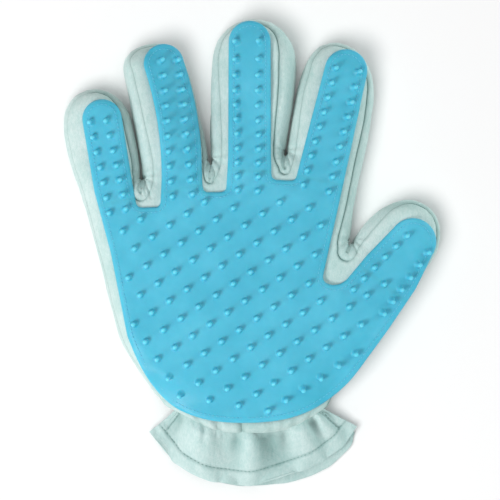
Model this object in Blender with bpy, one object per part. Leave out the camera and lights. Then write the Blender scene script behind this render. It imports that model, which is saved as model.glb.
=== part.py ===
"""Grooming glove for a right hand, lying on its back with the nubbed silicone pad upwards.

+Z is the palm's outward normal, +Y points to the fingertips and +X to the thumb's side. The tables
are in millimetres, and every mesh is made in metres. Each finger turns about a knuckle line, where
its pad, its panels and its gussets are cut from the palm's.
"""

import math
from collections import namedtuple

import bmesh
import bpy
from mathutils import Vector

MM = 0.001
GAP = 0.35  # left between pieces that touch, and along each knuckle line

# Height of each layer's underside and top side
BACK_LAYER = (0.0, 1.6)
GUSSET_LAYER = (1.95, 21.65)
PALM_LAYER = (22.0, 23.6)
PAD_LAYER = (23.95, 25.95)

GUSSET_THICKNESS = 1.4
GUSSET_EDGE = 0.7  # kept from the layer's two sides, for the thickness of a slanted edge
PANEL_INSET = 4.5  # of the panels' edges from the glove's silhouette
TIP_SEAM_GAP = 0.5  # between the two gussets of a finger, at its tip
BULGE_INSETS = (4.0, 1.2, 0.0, 1.0, 4.2)  # of a gusset from the silhouette, from its foot to its top

# A finger: its knuckle point, direction, length to the centre of the tip, half-widths there; then
# its pad, across the knuckle line and at the tip; then the ends and the number of its nub rows.
Finger = namedtuple(
    "Finger",
    "knuckle direction reach half_width tip_radius pad_middle pad_half pad_tip pad_tip_radius"
    " pad_bow left_nubs right_nubs rows crowding",
)
FINGERS = {
    "little": Finger(
        (-71.7, 32.0), 102, 33.8, 14.4, 16.0, 2.1, 9.7, (-75.3, 66.6), 9.9, 0.0,
        ((-80.5, 65.0), (-71.4, 19.7)), ((-72.9, 65.5), (-63.7, 21.4)), 7, 1.0,
    ),
    "ring": Finger(
        (-38.0, 38.8), 101, 49.6, 16.2, 16.5, 2.5, 10.2, (-44.5, 94.2), 10.0, 2.3,
        ((-46.2, 95.5), (-40.2, 27.8)), ((-38.3, 96.0), (-30.5, 28.8)), 10, 1.0,
    ),
    "middle": Finger(
        (-2.5, 47.6), 88, 48.2, 18.0, 20.8, 0.8, 10.7, (-1.7, 105.2), 10.5, 0.0,
        ((-8.0, 105.0), (-7.6, 31.0)), ((3.4, 105.0), (2.2, 30.6)), 11, 0.93,
    ),
    "index": Finger(
        (35.5, 43.2), 78, 43.6, 18.6, 18.7, -0.4, 11.7, (46.4, 90.8), 10.7, 0.0,
        ((40.9, 91.8), (25.2, 33.5)), ((52.0, 90.0), (37.6, 30.2)), 9, 1.0,
    ),
    "thumb": Finger(
        (65.2, -6.9), 53, 19.5, 20.0, 17.6, 4.8, 14.8, (79.7, 5.3), 11.9, 0.0,
        ((76.5, 8.5), (50.0, -18.5)), ((86.5, 0.0), (64.6, -30.0)), 6, 1.0,
    ),
}

# Corners (x, y, radius) of the palm between the fingers, from the wrist up the little finger's side
PAD_LITTLE_SIDE = [(-46, -71, 30), (-62.5, -42, 60), (-71, 0, 80)]
PAD_SLOTS = [
    [(-57.8, 22.4, 2.5), (-46.2, 22.7, 2.5)],
    [(-24.8, 30.0, 2.5), (-13.4, 30.3, 2.5)],
    [(9.3, 36.4, 2.5), (21.2, 35.9, 2.5)],
    [(34.3, -14.6, 3.5), (41.5, -16.9, 8.0), (46.6, -13.6, 5.0)],
]
PAD_THUMB_SIDE = [(42, -68.5, 40), (12, -84.6, 40), (-26, -84.2, 30)]
PANEL_LITTLE_SIDE = [(-37, -77.6, 3), (-45.5, -68.6, 25), (-62.6, -39.5, 60), (-74, 0.6, 90)]
PANEL_WEBS = [
    [(-56.4, 25.4, 3.0)],
    [(-21.3, 32.9, 2.0)],
    [(15.9, 38.2, 2.0)],
    [(46.0, 14.5, 40.0), (42.4, -4.5, 4.0)],
]
PANEL_THUMB_SIDE = [(41.3, -66.3, 30), (34, -74.3, 3), (12, -83.4, 40), (-24, -83.6, 30)]
# The palm's walls: name, the fingers that they run from and to, and the corners between
PALM_WALLS = [
    ("little_side_gusset", None, "little",
     [(-44.0, -75.0, 0), (-49.5, -70.5, 20), (-67.2, -41.0, 60), (-78.6, 0, 90)]),
    ("web_little_ring", "little", "ring", [(-57.2, 29.4, 1.2), (-54.5, 29.4, 1.2)]),
    ("web_ring_middle", "ring", "middle", [(-21.6, 36.9, 0.5), (-20.4, 36.9, 0.5)]),
    ("web_middle_index", "middle", "index", [(15.4, 42.4, 0.5), (16.6, 42.4, 0.5)]),
    ("web_index_thumb", "index", "thumb", [(50.2, 16.0, 40.0), (46.6, 0.8, 0.3), (47.8, 1.3, 0.3)]),
    ("thumb_side_gusset", "thumb", None, [(45.2, -68.6, 20), (41.0, -72.2, 0)]),
]

NUB_PITCH = 10.43
NUB_ORIGIN = (-1.25, -9.8)
NUB_LATTICE_TURN = 33.6
NUB_EDGE_MARGIN = 4.6
NUB_ROW_CLEARANCE = 7.0  # of the palm's lattice from the fingers' nub rows
NUB_BASE_RADIUS = 1.6
NUB_TIP_RADIUS = 0.7
NUB_HEIGHT = 3.0
NUB_ROOT = 0.5  # how far a nub reaches down into the pad
NUB_SIDES = 6

WRIST_X = -1.5
WRIST_Z = 11.8
CASING_HALF_WIDTH = 38.0
CASING_HALF_HEIGHT = 9.75
CASING_THICKNESS = 1.5
CASING_TOP_Y = -80.0
CASING_RISE = 7.0  # of the casing towards its two sides
CASING_LENGTH = 8.0
ELASTIC_CLEARANCE = 0.8
ELASTIC_THICKNESS = 1.0
ELASTIC_LENGTH = 5.0
RING_STEPS = 36

CUFF_THICKNESS = 1.2
CUFF_START = 0.9  # below the casing's lower edge
CUFF_STEPS = 18
CUFF_ROWS = 3
FRONT_HEM = [(-52, -90), (-46, -97.5), (-39, -104.5), (-30, -110.5), (-19, -114.4), (-6, -116.0),
             (8, -114.8), (20, -112.2), (30, -107.2), (40, -100.4), (47, -95), (52.2, -87.5)]
BACK_HEM = [(-51, -91), (-45, -98.5), (-38, -105), (-29, -111), (-18, -114.9), (-5, -116.6),
            (9, -115.9), (21, -113.6), (31, -109.8), (41, -103.4), (47.5, -97.6), (52, -89.5)]
FRONT_HEM_HEIGHT = (5.5, 10.0)  # at the two corners and in the middle
BACK_HEM_HEIGHT = (1.6, 0.65)

SIDE_STEPS = 4
TIP_STEPS = 10
CORNER_STEP = math.radians(15)


def along(finger):
    """Unit vector from the knuckle to the fingertip."""
    turn = math.radians(finger.direction)
    return Vector((math.cos(turn), math.sin(turn)))


def across(finger):
    """Unit vector along the knuckle line, towards the thumb's side: the axis that the finger curls about."""
    turn = math.radians(finger.direction)
    return Vector((math.sin(turn), -math.cos(turn)))


def knuckle_point(finger, offset, beyond):
    return Vector(finger.knuckle) + offset * across(finger) + beyond * along(finger)


def rounded(corners):
    """The corners (x, y, radius) of an outline's stretch, each given as an arc of its radius; ends stay sharp."""
    points = []
    for i, (x, y, radius) in enumerate(corners):
        corner = Vector((x, y))
        if radius == 0 or i in (0, len(corners) - 1):
            points.append(corner)
            continue
        back = (Vector(corners[i - 1][:2]) - corner).normalized()
        ahead = (Vector(corners[i + 1][:2]) - corner).normalized()
        opening = back.angle(ahead)
        reach = radius / math.tan(opening / 2)
        centre = corner + (back + ahead).normalized() * radius / math.sin(opening / 2)
        first = corner + back * reach - centre
        sweep = first.angle_signed(corner + ahead * reach - centre)
        steps = max(2, math.ceil(abs(sweep) / CORNER_STEP))
        for k in range(steps + 1):
            turn = -sweep * k / steps
            points.append(centre + Vector((
                first.x * math.cos(turn) - first.y * math.sin(turn),
                first.x * math.sin(turn) + first.y * math.cos(turn),
            )))
    return points


def fingertip_outline(root, tip, half_root, half_tip, line, bow=0.0):
    """Points up a finger's little side, round its tip and down its thumb side, from a knuckle line."""
    root = Vector(root)
    tip = Vector(tip)
    left = [root - half_root * line]
    right = [root + half_root * line]
    forward = (tip - root).normalized()
    side = Vector((forward.y, -forward.x))
    for step in range(1, SIDE_STEPS + 1):
        s = step / SIDE_STEPS
        centre = root.lerp(tip, s) + side * bow * 4 * s * (1 - s)
        half = half_root + (half_tip - half_root) * s
        left.append(centre - half * side)
        right.append(centre + half * side)
    arc = []
    for step in range(1, TIP_STEPS):
        turn = math.pi * step / TIP_STEPS
        arc.append(tip + half_tip * (math.sin(turn) * forward - math.cos(turn) * side))
    return left + arc + right[::-1]


def silhouette(finger, inset=0.0):
    root = knuckle_point(finger, 0, GAP / 2)
    tip = Vector(finger.knuckle) + finger.reach * along(finger)
    return fingertip_outline(root, tip, finger.half_width - inset, finger.tip_radius - inset, across(finger))


def pad_outline(finger):
    root = knuckle_point(finger, finger.pad_middle, GAP / 2)
    return fingertip_outline(
        root, finger.pad_tip, finger.pad_half, finger.pad_tip_radius, across(finger), finger.pad_bow
    )


def root_ends(finger, middle, half):
    """A finger root's two points on the palm's side of its knuckle line, as sharp corners."""
    return [(*knuckle_point(finger, middle + sign * half, -GAP / 2), 0) for sign in (-1, 1)]


def palm_outline(little_side, slots, thumb_side, ends_of):
    """The palm's closed outline: up the little finger's side, across the finger roots, back by the thumb."""
    corners = list(little_side)
    for finger, slot in zip(FINGERS.values(), slots + [[]]):
        corners += ends_of(finger) + slot
    corners += thumb_side
    # The ends of a stretch stay sharp, so the outline is rounded with its neighbours added at both ends.
    loop = rounded([corners[-1]] + corners + [corners[0]])
    return loop[1:-1]


def nub_rows(finger):
    """The two columns of nubs that run up a finger."""
    points = []
    for tip, root in (finger.left_nubs, finger.right_nubs):
        for row in range(finger.rows):
            s = (row / (finger.rows - 1)) ** finger.crowding
            points.append(Vector(tip).lerp(Vector(root), s))
    return points


def beyond_knuckle(finger, point):
    return (point - Vector(finger.knuckle)).dot(along(finger))


def edge_distance(point, outline):
    """How far inside a closed outline a point is, or a negative number outside it."""
    inside = False
    nearest = math.inf
    for a, b in zip(outline, outline[1:] + outline[:1]):
        if (a.y > point.y) != (b.y > point.y):
            if point.x < a.x + (point.y - a.y) * (b.x - a.x) / (b.y - a.y):
                inside = not inside
        edge = b - a
        s = max(0.0, min(1.0, (point - a).dot(edge) / edge.length_squared))
        nearest = min(nearest, (point - a - s * edge).length)
    return nearest if inside else -nearest


def palm_nubs(outline):
    """The palm's square lattice of nubs, with the roots of the fingers' own rows."""
    points = []
    for finger in FINGERS.values():
        points += [point for point in nub_rows(finger) if beyond_knuckle(finger, point) < 0]
    rows = list(points)
    turn = math.radians(NUB_LATTICE_TURN)
    first = Vector((math.cos(turn), math.sin(turn))) * NUB_PITCH
    second = Vector((math.sin(turn), -math.cos(turn))) * NUB_PITCH
    reach = range(-12, 13)
    for i in reach:
        for j in reach:
            point = Vector(NUB_ORIGIN) + i * first + j * second
            clear = all((point - row).length > NUB_ROW_CLEARANCE for row in rows)
            if clear and edge_distance(point, outline) > NUB_EDGE_MARGIN:
                points.append(point)
    return points


def make_material(name, colour, roughness):
    material = bpy.data.materials.new(name)
    material.use_nodes = True
    shader = material.node_tree.nodes["Principled BSDF"]
    shader.inputs["Base Color"].default_value = (*colour, 1)
    shader.inputs["Roughness"].default_value = roughness
    shader.inputs["Metallic"].default_value = 0.0
    return material


def make_object(name, points, faces, material, parent=None):
    """A mesh object from points in millimetres, with its origin on its parent's."""
    origin = parent.location if parent else Vector((0, 0, 0))
    mesh = bpy.data.meshes.new(name)
    mesh.from_pydata([Vector(point) * MM - origin for point in points], [], faces)
    mesh.materials.append(material)
    obj = bpy.data.objects.new(name, mesh)
    bpy.context.scene.collection.objects.link(obj)
    obj.parent = parent
    return obj


def close_outwards(obj):
    shape = bmesh.new()
    shape.from_mesh(obj.data)
    bmesh.ops.recalc_face_normals(shape, faces=shape.faces)
    shape.to_mesh(obj.data)
    shape.free()


def plate(name, outline, layer, material, parent=None):
    """A flat piece: the outline from the underside's height to the top side's."""
    low, high = layer
    count = len(outline)
    points = [(*point, low) for point in outline] + [(*point, high) for point in outline]
    faces = [list(range(count)), list(range(count, 2 * count))]
    faces += [[i, (i + 1) % count, (i + 1) % count + count, i + count] for i in range(count)]
    obj = make_object(name, points, faces, material, parent)
    close_outwards(obj)
    return obj


def sheet(name, rows, thickness, material, parent=None, closed=False):
    """A fabric piece: a grid of rows of points, thickened evenly to both sides."""
    count = len(rows[0])
    points = [point for row in rows for point in row]
    faces = []
    for r in range(len(rows) - 1):
        for c in range(count if closed else count - 1):
            a = r * count + c
            b = r * count + (c + 1) % count
            faces.append([a, b, b + count, a + count])
    obj = make_object(name, points, faces, material, parent)
    thicken = obj.modifiers.new("cloth thickness", "SOLIDIFY")
    thicken.thickness = thickness * MM
    thicken.offset = 0
    obj.data.shade_smooth()
    obj.data.set_sharp_from_angle(angle=math.radians(40))
    return obj


def add_nubs(pad, points):
    """Joins tapered nubs to a pad, each rooted a little way into it."""
    low = PAD_LAYER[1] - NUB_ROOT
    high = PAD_LAYER[1] + NUB_HEIGHT
    corners = []
    faces = []
    for point in points:
        start = len(corners)
        for radius, height in ((NUB_BASE_RADIUS, low), (NUB_TIP_RADIUS, high)):
            for k in range(NUB_SIDES):
                turn = 2 * math.pi * k / NUB_SIDES
                corners.append((point.x + radius * math.cos(turn), point.y + radius * math.sin(turn), height))
        ring = range(NUB_SIDES)
        faces.append([start + k for k in ring])
        faces.append([start + NUB_SIDES + k for k in ring])
        faces += [
            [start + k, start + (k + 1) % NUB_SIDES,
             start + NUB_SIDES + (k + 1) % NUB_SIDES, start + NUB_SIDES + k]
            for k in ring
        ]
    nubs = make_object(pad.name + "_nub_shapes", corners, faces, pad.data.materials[0], pad.parent)
    close_outwards(nubs)
    nubs.hide_render = True
    nubs.display_type = "WIRE"
    join = pad.modifiers.new("nubs", "BOOLEAN")
    join.operation = "UNION"
    join.object = nubs


def inward_normals(path, first=None, last=None):
    """Unit vectors into the glove from each point of a path that runs with the glove on its right.

    An end on a finger's knuckle line points along that line instead, so that it is cut square to the finger.
    """
    normals = []
    for i in range(len(path)):
        run = (path[min(i + 1, len(path) - 1)] - path[max(i - 1, 0)]).normalized()
        normals.append(Vector((run.y, -run.x)))
    if first:
        normals[0] = -across(first)
    if last:
        normals[-1] = across(last)
    return normals


def gusset(name, path, normals, material, parent=None):
    """A wall along a stretch of the silhouette, which bulges out at mid height."""
    low = GUSSET_LAYER[0] + GUSSET_EDGE
    high = GUSSET_LAYER[1] - GUSSET_EDGE
    rows = []
    for level, inset in enumerate(BULGE_INSETS):
        height = low + (high - low) * level / (len(BULGE_INSETS) - 1)
        shift = inset + GUSSET_THICKNESS / 2
        rows.append([(*(point + shift * inward), height) for point, inward in zip(path, normals)])
    return sheet(name, rows, GUSSET_THICKNESS, material, parent)


def wrist_drop(x):
    """How much nearer the fingers the wrist seam is here than in the middle."""
    return CASING_RISE * min(1.0, ((x - WRIST_X) / CASING_HALF_WIDTH) ** 2)


def wrist_point(turn, half_width, half_height, below_top):
    x = WRIST_X + half_width * math.cos(turn)
    return (x, CASING_TOP_Y + wrist_drop(x) - below_top, WRIST_Z + half_height * math.sin(turn))


def wrist_band(name, inset, thickness, start, length, material):
    """A closed band round the wrist opening, inset from the casing's outside."""
    middle = inset + thickness / 2
    turns = [2 * math.pi * k / RING_STEPS for k in range(RING_STEPS)]
    rows = [
        [wrist_point(t, CASING_HALF_WIDTH - middle, CASING_HALF_HEIGHT - middle, start + s * length) for t in turns]
        for s in (0, 0.5, 1)
    ]
    return sheet(name, rows, thickness, material, closed=True)


def along_polyline(points, s):
    """The point at a share s of the way through a hem's points."""
    place = s * (len(points) - 1)
    i = min(int(place), len(points) - 2)
    return Vector(points[i]).lerp(Vector(points[i + 1]), place - i)


def cuff_flap(name, hem, heights, side, material):
    """Half of the cuff, ruled from the wrist casing's front or back half to its hem."""
    middle = CASING_THICKNESS / 2
    corner, centre = heights
    rows = []
    for r in range(CUFF_ROWS + 1):
        down = r / CUFF_ROWS
        row = []
        for c in range(CUFF_STEPS + 1):
            s = c / CUFF_STEPS
            turn = math.radians(174 - 168 * s)
            top = Vector(wrist_point(
                turn, CASING_HALF_WIDTH - middle, side * (CASING_HALF_HEIGHT - middle),
                CASING_LENGTH + CUFF_START,
            ))
            edge = along_polyline(hem, s)
            rise = corner + (centre - corner) * math.sin(math.pi * s)
            row.append(top.lerp(Vector((*edge, rise)), down))
        rows.append(row)
    return sheet(name, rows, CUFF_THICKNESS, material)


def build_palm(silicone, plush, lining, band):
    pad = palm_outline(
        PAD_LITTLE_SIDE, PAD_SLOTS, PAD_THUMB_SIDE,
        lambda finger: root_ends(finger, finger.pad_middle, finger.pad_half),
    )
    add_nubs(plate("palm_pad", pad, PAD_LAYER, silicone), palm_nubs(pad))
    panel = palm_outline(
        PANEL_LITTLE_SIDE, PANEL_WEBS, PANEL_THUMB_SIDE,
        lambda finger: root_ends(finger, 0, finger.half_width - PANEL_INSET),
    )
    plate("palm_panel", panel, PALM_LAYER, plush)
    plate("back_panel", panel, BACK_LAYER, plush)

    def wall_end(name, side):
        finger = FINGERS[name]
        return [(*knuckle_point(finger, side * finger.half_width, -GAP / 2), 0)]

    for name, first, last, corners in PALM_WALLS:
        start = wall_end(first, 1) if first else []
        end = wall_end(last, -1) if last else []
        path = rounded(start + corners + end)
        gusset(name, path, inward_normals(path, FINGERS.get(first), FINGERS.get(last)), plush)
    wrist_band("wrist_casing", 0, CASING_THICKNESS, 0, CASING_LENGTH, lining)
    wrist_band(
        "wrist_elastic", CASING_THICKNESS + ELASTIC_CLEARANCE, ELASTIC_THICKNESS,
        (CASING_LENGTH - ELASTIC_LENGTH) / 2, ELASTIC_LENGTH, band,
    )
    cuff_flap("cuff_front_flap", FRONT_HEM, FRONT_HEM_HEIGHT, 1, plush)
    cuff_flap("cuff_back_flap", BACK_HEM, BACK_HEM_HEIGHT, -1, plush)


def build_finger(name, finger, silicone, plush):
    pivot = bpy.data.objects.new(name + "_knuckle", None)
    pivot.location = Vector((*finger.knuckle, PAD_LAYER[1])) * MM
    bpy.context.scene.collection.objects.link(pivot)
    pad = plate(name + "_pad", pad_outline(finger), PAD_LAYER, silicone, pivot)
    add_nubs(pad, [point for point in nub_rows(finger) if beyond_knuckle(finger, point) > 0])
    panel = silhouette(finger, PANEL_INSET)
    plate(name + "_palm_panel", panel, PALM_LAYER, plush, pivot)
    plate(name + "_back_panel", panel, BACK_LAYER, plush, pivot)
    outline = silhouette(finger)
    normals = inward_normals(outline)
    normals[0] = across(finger)
    normals[-1] = -across(finger)
    top = len(outline) // 2
    cut = TIP_SEAM_GAP / 2 * across(finger)
    gusset(name + "_little_side_gusset", outline[:top] + [outline[top] - cut], normals[:top + 1], plush, pivot)
    gusset(name + "_thumb_side_gusset", [outline[top] + cut] + outline[top + 1:], normals[top:], plush, pivot)


def main():
    for obj in list(bpy.data.objects):
        bpy.data.objects.remove(obj, do_unlink=True)
    silicone = make_material("blue silicone", (0.10, 0.53, 0.73), 0.45)
    plush = make_material("mint plush", (0.52, 0.74, 0.70), 0.95)
    lining = make_material("mint casing", (0.48, 0.70, 0.66), 0.95)
    band = make_material("white elastic", (0.85, 0.86, 0.84), 0.85)
    build_palm(silicone, plush, lining, band)
    for name, finger in FINGERS.items():
        build_finger(name, finger, silicone, plush)


main()
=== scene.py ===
import math

import bpy
import numpy as np
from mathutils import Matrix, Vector, kdtree, noise
from mathutils.geometry import delaunay_2d_cdt


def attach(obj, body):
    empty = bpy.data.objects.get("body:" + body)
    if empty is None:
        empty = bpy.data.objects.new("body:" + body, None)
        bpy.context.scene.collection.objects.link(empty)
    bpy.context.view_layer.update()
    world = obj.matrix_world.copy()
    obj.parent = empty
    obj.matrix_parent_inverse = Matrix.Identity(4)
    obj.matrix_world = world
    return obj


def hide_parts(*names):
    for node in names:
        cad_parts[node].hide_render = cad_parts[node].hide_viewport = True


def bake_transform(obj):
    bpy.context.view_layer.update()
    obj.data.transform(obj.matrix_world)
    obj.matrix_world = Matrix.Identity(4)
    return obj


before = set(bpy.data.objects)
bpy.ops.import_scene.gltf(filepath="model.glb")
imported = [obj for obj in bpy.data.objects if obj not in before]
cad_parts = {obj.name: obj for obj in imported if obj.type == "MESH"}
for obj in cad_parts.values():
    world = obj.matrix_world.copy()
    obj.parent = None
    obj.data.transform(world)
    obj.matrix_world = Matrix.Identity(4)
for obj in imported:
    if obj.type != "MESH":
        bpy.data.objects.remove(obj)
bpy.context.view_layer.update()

# Lengths are in millimetres, and become metres where a mesh is made. +X is to the thumb's side, +Y to the
# fingertips and +Z out of the palm.
MM = 0.001
TINY = 1e-12

# The glove's silhouette, from the wrist up the little finger's side and back down the thumb's side. Each
# point is (x, y, how far inside it the palm panel's seam runs); each stretch ends at the bottom of a crotch.
SILHOUETTE = [
    [(-39.0, -112, 1.2), (-39.5, -92, 1.2), (-40.5, -83, 1.2), (-43.5, -77, 1.2), (-49, -71, 1.2),
     (-56, -61, 1.2), (-63.3, -49.5, 1.2), (-67.5, -40, 1.2), (-73, -20, 1.2), (-75.8, -8, 1.2),
     (-78.8, 3, 1.2), (-83, 19, 1.4), (-86.7, 31, 1.6), (-90.3, 41, 1.8), (-93.3, 52, 2),
     (-94.8, 62, 2), (-93.8, 71, 2), (-90, 77.5, 1.8), (-84, 81, 1.6), (-77.5, 81.8, 1.4),
     (-71.5, 80, 1.6), (-65.9, 75.5, 2.4), (-61.9, 69, 3.4), (-59.6, 61, 3.8), (-57.9, 52, 3.6),
     (-56.7, 44, 3.3), (-56.3, 37, 3.1), (-56.25, 33, 3.5), (-56.2, 30, 4.2)],
    [(-56.2, 30, 4.2), (-55.8, 33, 5.2), (-55.7, 37, 5.8), (-56.0, 44, 6.0), (-57.5, 53, 5.8),
     (-59.8, 65, 5.4), (-62, 77, 5.0), (-64.2, 87, 4.8), (-65, 94, 3.8), (-62.4, 99.4, 2),
     (-57, 102.9, 1.3), (-51, 104.4, 1.0), (-44.5, 104.4, 1.0), (-38.3, 101.5, 1.0), (-34.6, 96, 1.2),
     (-32.1, 89, 1.2), (-29.6, 80, 1.3), (-27, 69, 1.4), (-24.7, 59, 1.6), (-22.9, 51, 2.0),
     (-22, 45, 2.8), (-21.7, 40.5, 3.2), (-21.5, 37.2, 2.6)],
    [(-21.5, 37.2, 2.6), (-21.2, 40.5, 4.0), (-21.2, 47, 5.2), (-21.3, 60, 5.4), (-21.2, 75, 4.6),
     (-20.9, 88, 3.6), (-20, 98, 2.6), (-17.3, 106.5, 2), (-12.5, 112.3, 1.5), (-6.5, 115.6, 1.2),
     (0, 116.6, 1.3), (6.5, 115.9, 2.2), (12.5, 113, 3.6), (17.2, 108.3, 5.8), (20.3, 102, 7.6),
     (21.6, 95, 8.7), (21.4, 86, 8.6), (20.2, 75, 8.0), (18.6, 65, 7.3), (17.3, 57, 6.6),
     (16.35, 50, 6.0), (16.1, 46, 5.0), (16.0, 42.1, 3.0)],
    [(16.0, 42.1, 3.0), (16.3, 46, 3.8), (16.6, 50, 4.2), (17.75, 57, 4.2), (19.6, 68, 3.6),
     (21.6, 79, 3.3), (24, 88, 3.2), (27.5, 96.5, 2.4), (33, 102.8, 1.5), (40, 105, 1.2),
     (47, 103.7, 1.2), (53.3, 99.5, 1.5), (57.8, 93, 2), (60.2, 85, 2.6), (60.5, 77, 3),
     (59.3, 66, 3.3), (57.2, 55, 3.5), (55, 45, 3.6), (53, 36, 3.4), (51.2, 27, 3.5), (50.0, 19, 4.0),
     (49.1, 11, 5.2), (48.1, 4.5, 5.8), (46.9, 0.4, 4.6)],
    [(46.9, 0.4, 4.6), (49.4, 5.2, 4.4), (53, 10.4, 4.5), (57.5, 15.8, 4.5), (63, 20.8, 3.8),
     (69, 24.4, 2.7), (76, 26.3, 1.6), (83, 25.4, 1.2), (88.6, 22, 1.2), (92.4, 16.5, 1.2),
     (93.8, 10, 1.2), (92.9, 3, 1.2), (90, -3.5, 1.3), (84, -12.6, 1.4), (77, -22.3, 1.4),
     (68, -34.7, 1.4), (58.5, -47.5, 1.4), (50, -58.5, 1.4), (44.2, -66.5, 1.4), (39.7, -73.5, 1.2),
     (37.6, -80, 1.2), (36.8, -92, 1.2), (36.5, -112, 1.2)],
]

# Heights of the glove body: its middle, where the front and back halves meet, and how each half rises.
MIDDLE = 11.8
FRONT_TOP = 23.3
FRONT_ROUNDING = 9.5  # how far from the silhouette the front goes on rising
BACK_ROUNDING = 8.0
ROUNDNESS = 2.3  # 2 is an ellipse, and more is boxier
WRIST_X = -1.5
WRIST_HALF_WIDTH = 38.0
WRIST_HALF_HEIGHT = 9.75
BODY_END = (-83.0, 9.5)  # y at the middle of the wrist, and how much higher it is at the two sides
ROLL_END = (-91.0, 14.0)
WRIST_CURVE = 3.0
SHELL = 0.9  # thickness of the plush
CROWN = 0.9
STEP = 1.2
FRONT_GRID = 1.7
BACK_GRID = 3.2
BACK_SEAM_INSET = 4.0

PAD_SPLIT = -7.2
FABRIC_SPLIT = -5.2

# Each finger: its knuckle, its direction in degrees, and how much its palm side leans to the thumb's side.
KNUCKLES = {
    "little": ((-71.7, 32.0), 102, 0.21),
    "ring": ((-38.0, 38.8), 101, -0.34),
    "middle": ((-2.5, 47.6), 88, 0.27),
    "index": ((35.5, 43.2), 78, -0.17),
    "thumb": ((65.2, -6.9), 53, -0.20),
}
# Where the fingers part. Below it the two sides of a crotch lie against each other, down to its bottom.
CROTCHES = [(-54.8, 37.8), (-21.5, 47.2), (16.0, 51.0), (49.5, 6.0)]


def unit(angle):
    return np.array([math.cos(angle), math.sin(angle)])


def finger_axes(name):
    knuckle, degrees, _ = KNUCKLES[name]
    direction = unit(math.radians(degrees))
    return np.array(knuckle), direction, np.array([direction[1], -direction[0]])


def finger_place(name, points):
    """How far points are along a finger from its knuckle, and how far to the thumb's side of it."""
    knuckle, direction, side = finger_axes(name)
    away = points[:, :2] - knuckle
    return away @ direction, away @ side


def unit_rows(vectors):
    return vectors / np.maximum(np.linalg.norm(vectors, axis=1), TINY)[:, None]


def smooth(value, low, high):
    s = np.clip((value - low) / (high - low), 0, 1)
    return s * s * (3 - 2 * s)


def curve(points, step):
    """Points about step apart on a smooth curve through the given ones. Any further columns go along."""
    given = np.array(points, float)
    ends = [2 * given[0] - given[1], *given, 2 * given[-1] - given[-2]]
    out = []
    for a, b, c, d in zip(ends, ends[1:], ends[2:], ends[3:]):
        parts = max(1, round(float(np.hypot(*(c - b)[:2])) / step))
        for k in range(parts):
            t = k / parts
            bend = (2 * a - 5 * b + 4 * c - d) * t * t + (3 * b - a - 3 * c + d) * t ** 3
            out.append(0.5 * (2 * b + (c - a) * t + bend))
    out.append(given[-1])
    return np.array(out)


def wrist_line(x, line=BODY_END):
    return line[0] + line[1] * np.minimum(1, abs((x - WRIST_X) / WRIST_HALF_WIDTH) ** WRIST_CURVE)


def right_of(path):
    """The unit vectors to the right of a path at each of its points."""
    ahead = unit_rows(np.gradient(path, axis=0))
    return np.stack([ahead[:, 1], -ahead[:, 0]], axis=1)


FAN = 8


def stations():
    """Along the whole silhouette: point, inward direction, seam inset and stretch. A crotch has a fan."""
    points, inward, insets, stretch = [], [], [], []
    for number, corners in enumerate(SILHOUETTE):
        path = curve(corners, STEP)
        normals = right_of(path[:, :2])
        if number:
            first = math.atan2(*inward[-1][::-1])
            sweep = (math.atan2(*normals[0][::-1]) - first) % (2 * math.pi)
            for k in range(1, FAN):
                points.append(path[0, :2])
                inward.append(unit(first + sweep * k / FAN))
                insets.append(path[0, 2])
                stretch.append(number)
        points += list(path[:, :2])
        inward += list(normals)
        insets += list(path[:, 2])
        stretch += [number] * len(path)
    return np.array(points), np.array(inward), np.array(insets), np.array(stretch)


def cut_at_wrist(points, *columns):
    """The stations above the wrist, with both ends moved onto the wrist line."""
    kept = points[:, 1] > wrist_line(points[:, 0]) + 0.3
    points = points[kept]
    for end in (0, -1):
        points[end, 1] = wrist_line(points[end, 0])
    return points, *[column[kept] for column in columns]


def parted_outline():
    """The silhouette without the closed lower parts of its crotches."""
    points = LONG_OUTLINE
    kept = np.ones(len(points), bool)
    for (x, y), corners in zip(CROTCHES, SILHOUETTE[1:]):
        reach = math.dist((x, y), corners[0][:2])
        kept &= np.hypot(*(points - corners[0][:2]).T) > reach - 0.4
    return points[kept], STATION_COLUMNS[2][kept]


BLOCK = 2000


def nearest_segment(points, path):
    """The distance from each point to a path, and which of its segments is nearest, a block at a time."""
    start = path[:-1]
    edge = path[1:] - start
    length = np.maximum((edge ** 2).sum(1), TINY)
    best = np.empty(len(points))
    which = np.empty(len(points), int)
    for first in range(0, len(points), BLOCK):
        span = slice(first, first + BLOCK)
        block = points[span, None, :2] - start
        along = np.clip((block * edge).sum(2) / length, 0, 1)
        gap = ((block - along[:, :, None] * edge) ** 2).sum(2)
        chosen = gap.argmin(1)
        which[span] = chosen
        best[span] = np.sqrt(gap[np.arange(len(gap)), chosen])
    return best, which


def inside(points, loop):
    """Which points are inside a closed loop."""
    found = np.zeros(len(points), bool)
    for a, b in zip(loop, np.roll(loop, -1, axis=0)):
        spans = (a[1] > points[:, 1]) != (b[1] > points[:, 1])
        with np.errstate(divide="ignore", invalid="ignore"):
            crossing = a[0] + (points[:, 1] - a[1]) * (b[0] - a[0]) / (b[1] - a[1])
        found ^= spans & (points[:, 0] < crossing)
    return found


def hex_grid(loop, pitch):
    low, high = loop.min(0), loop.max(0)
    rows = []
    for r, y in enumerate(np.arange(low[1], high[1], pitch * math.sqrt(0.75))):
        xs = np.arange(low[0] + (r % 2) * pitch / 2, high[0], pitch)
        rows.append(np.stack([xs, np.full(len(xs), y)], axis=1))
    return np.concatenate(rows)


def nearest_distances(points, others):
    """How far each point is from the nearest of the others, in plan."""
    tree = kdtree.KDTree(len(others))
    for i, (x, y) in enumerate(others):
        tree.insert((x, y, 0), i)
    tree.balance()
    return np.array([tree.find((x, y, 0))[2] for x, y in points])


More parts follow.
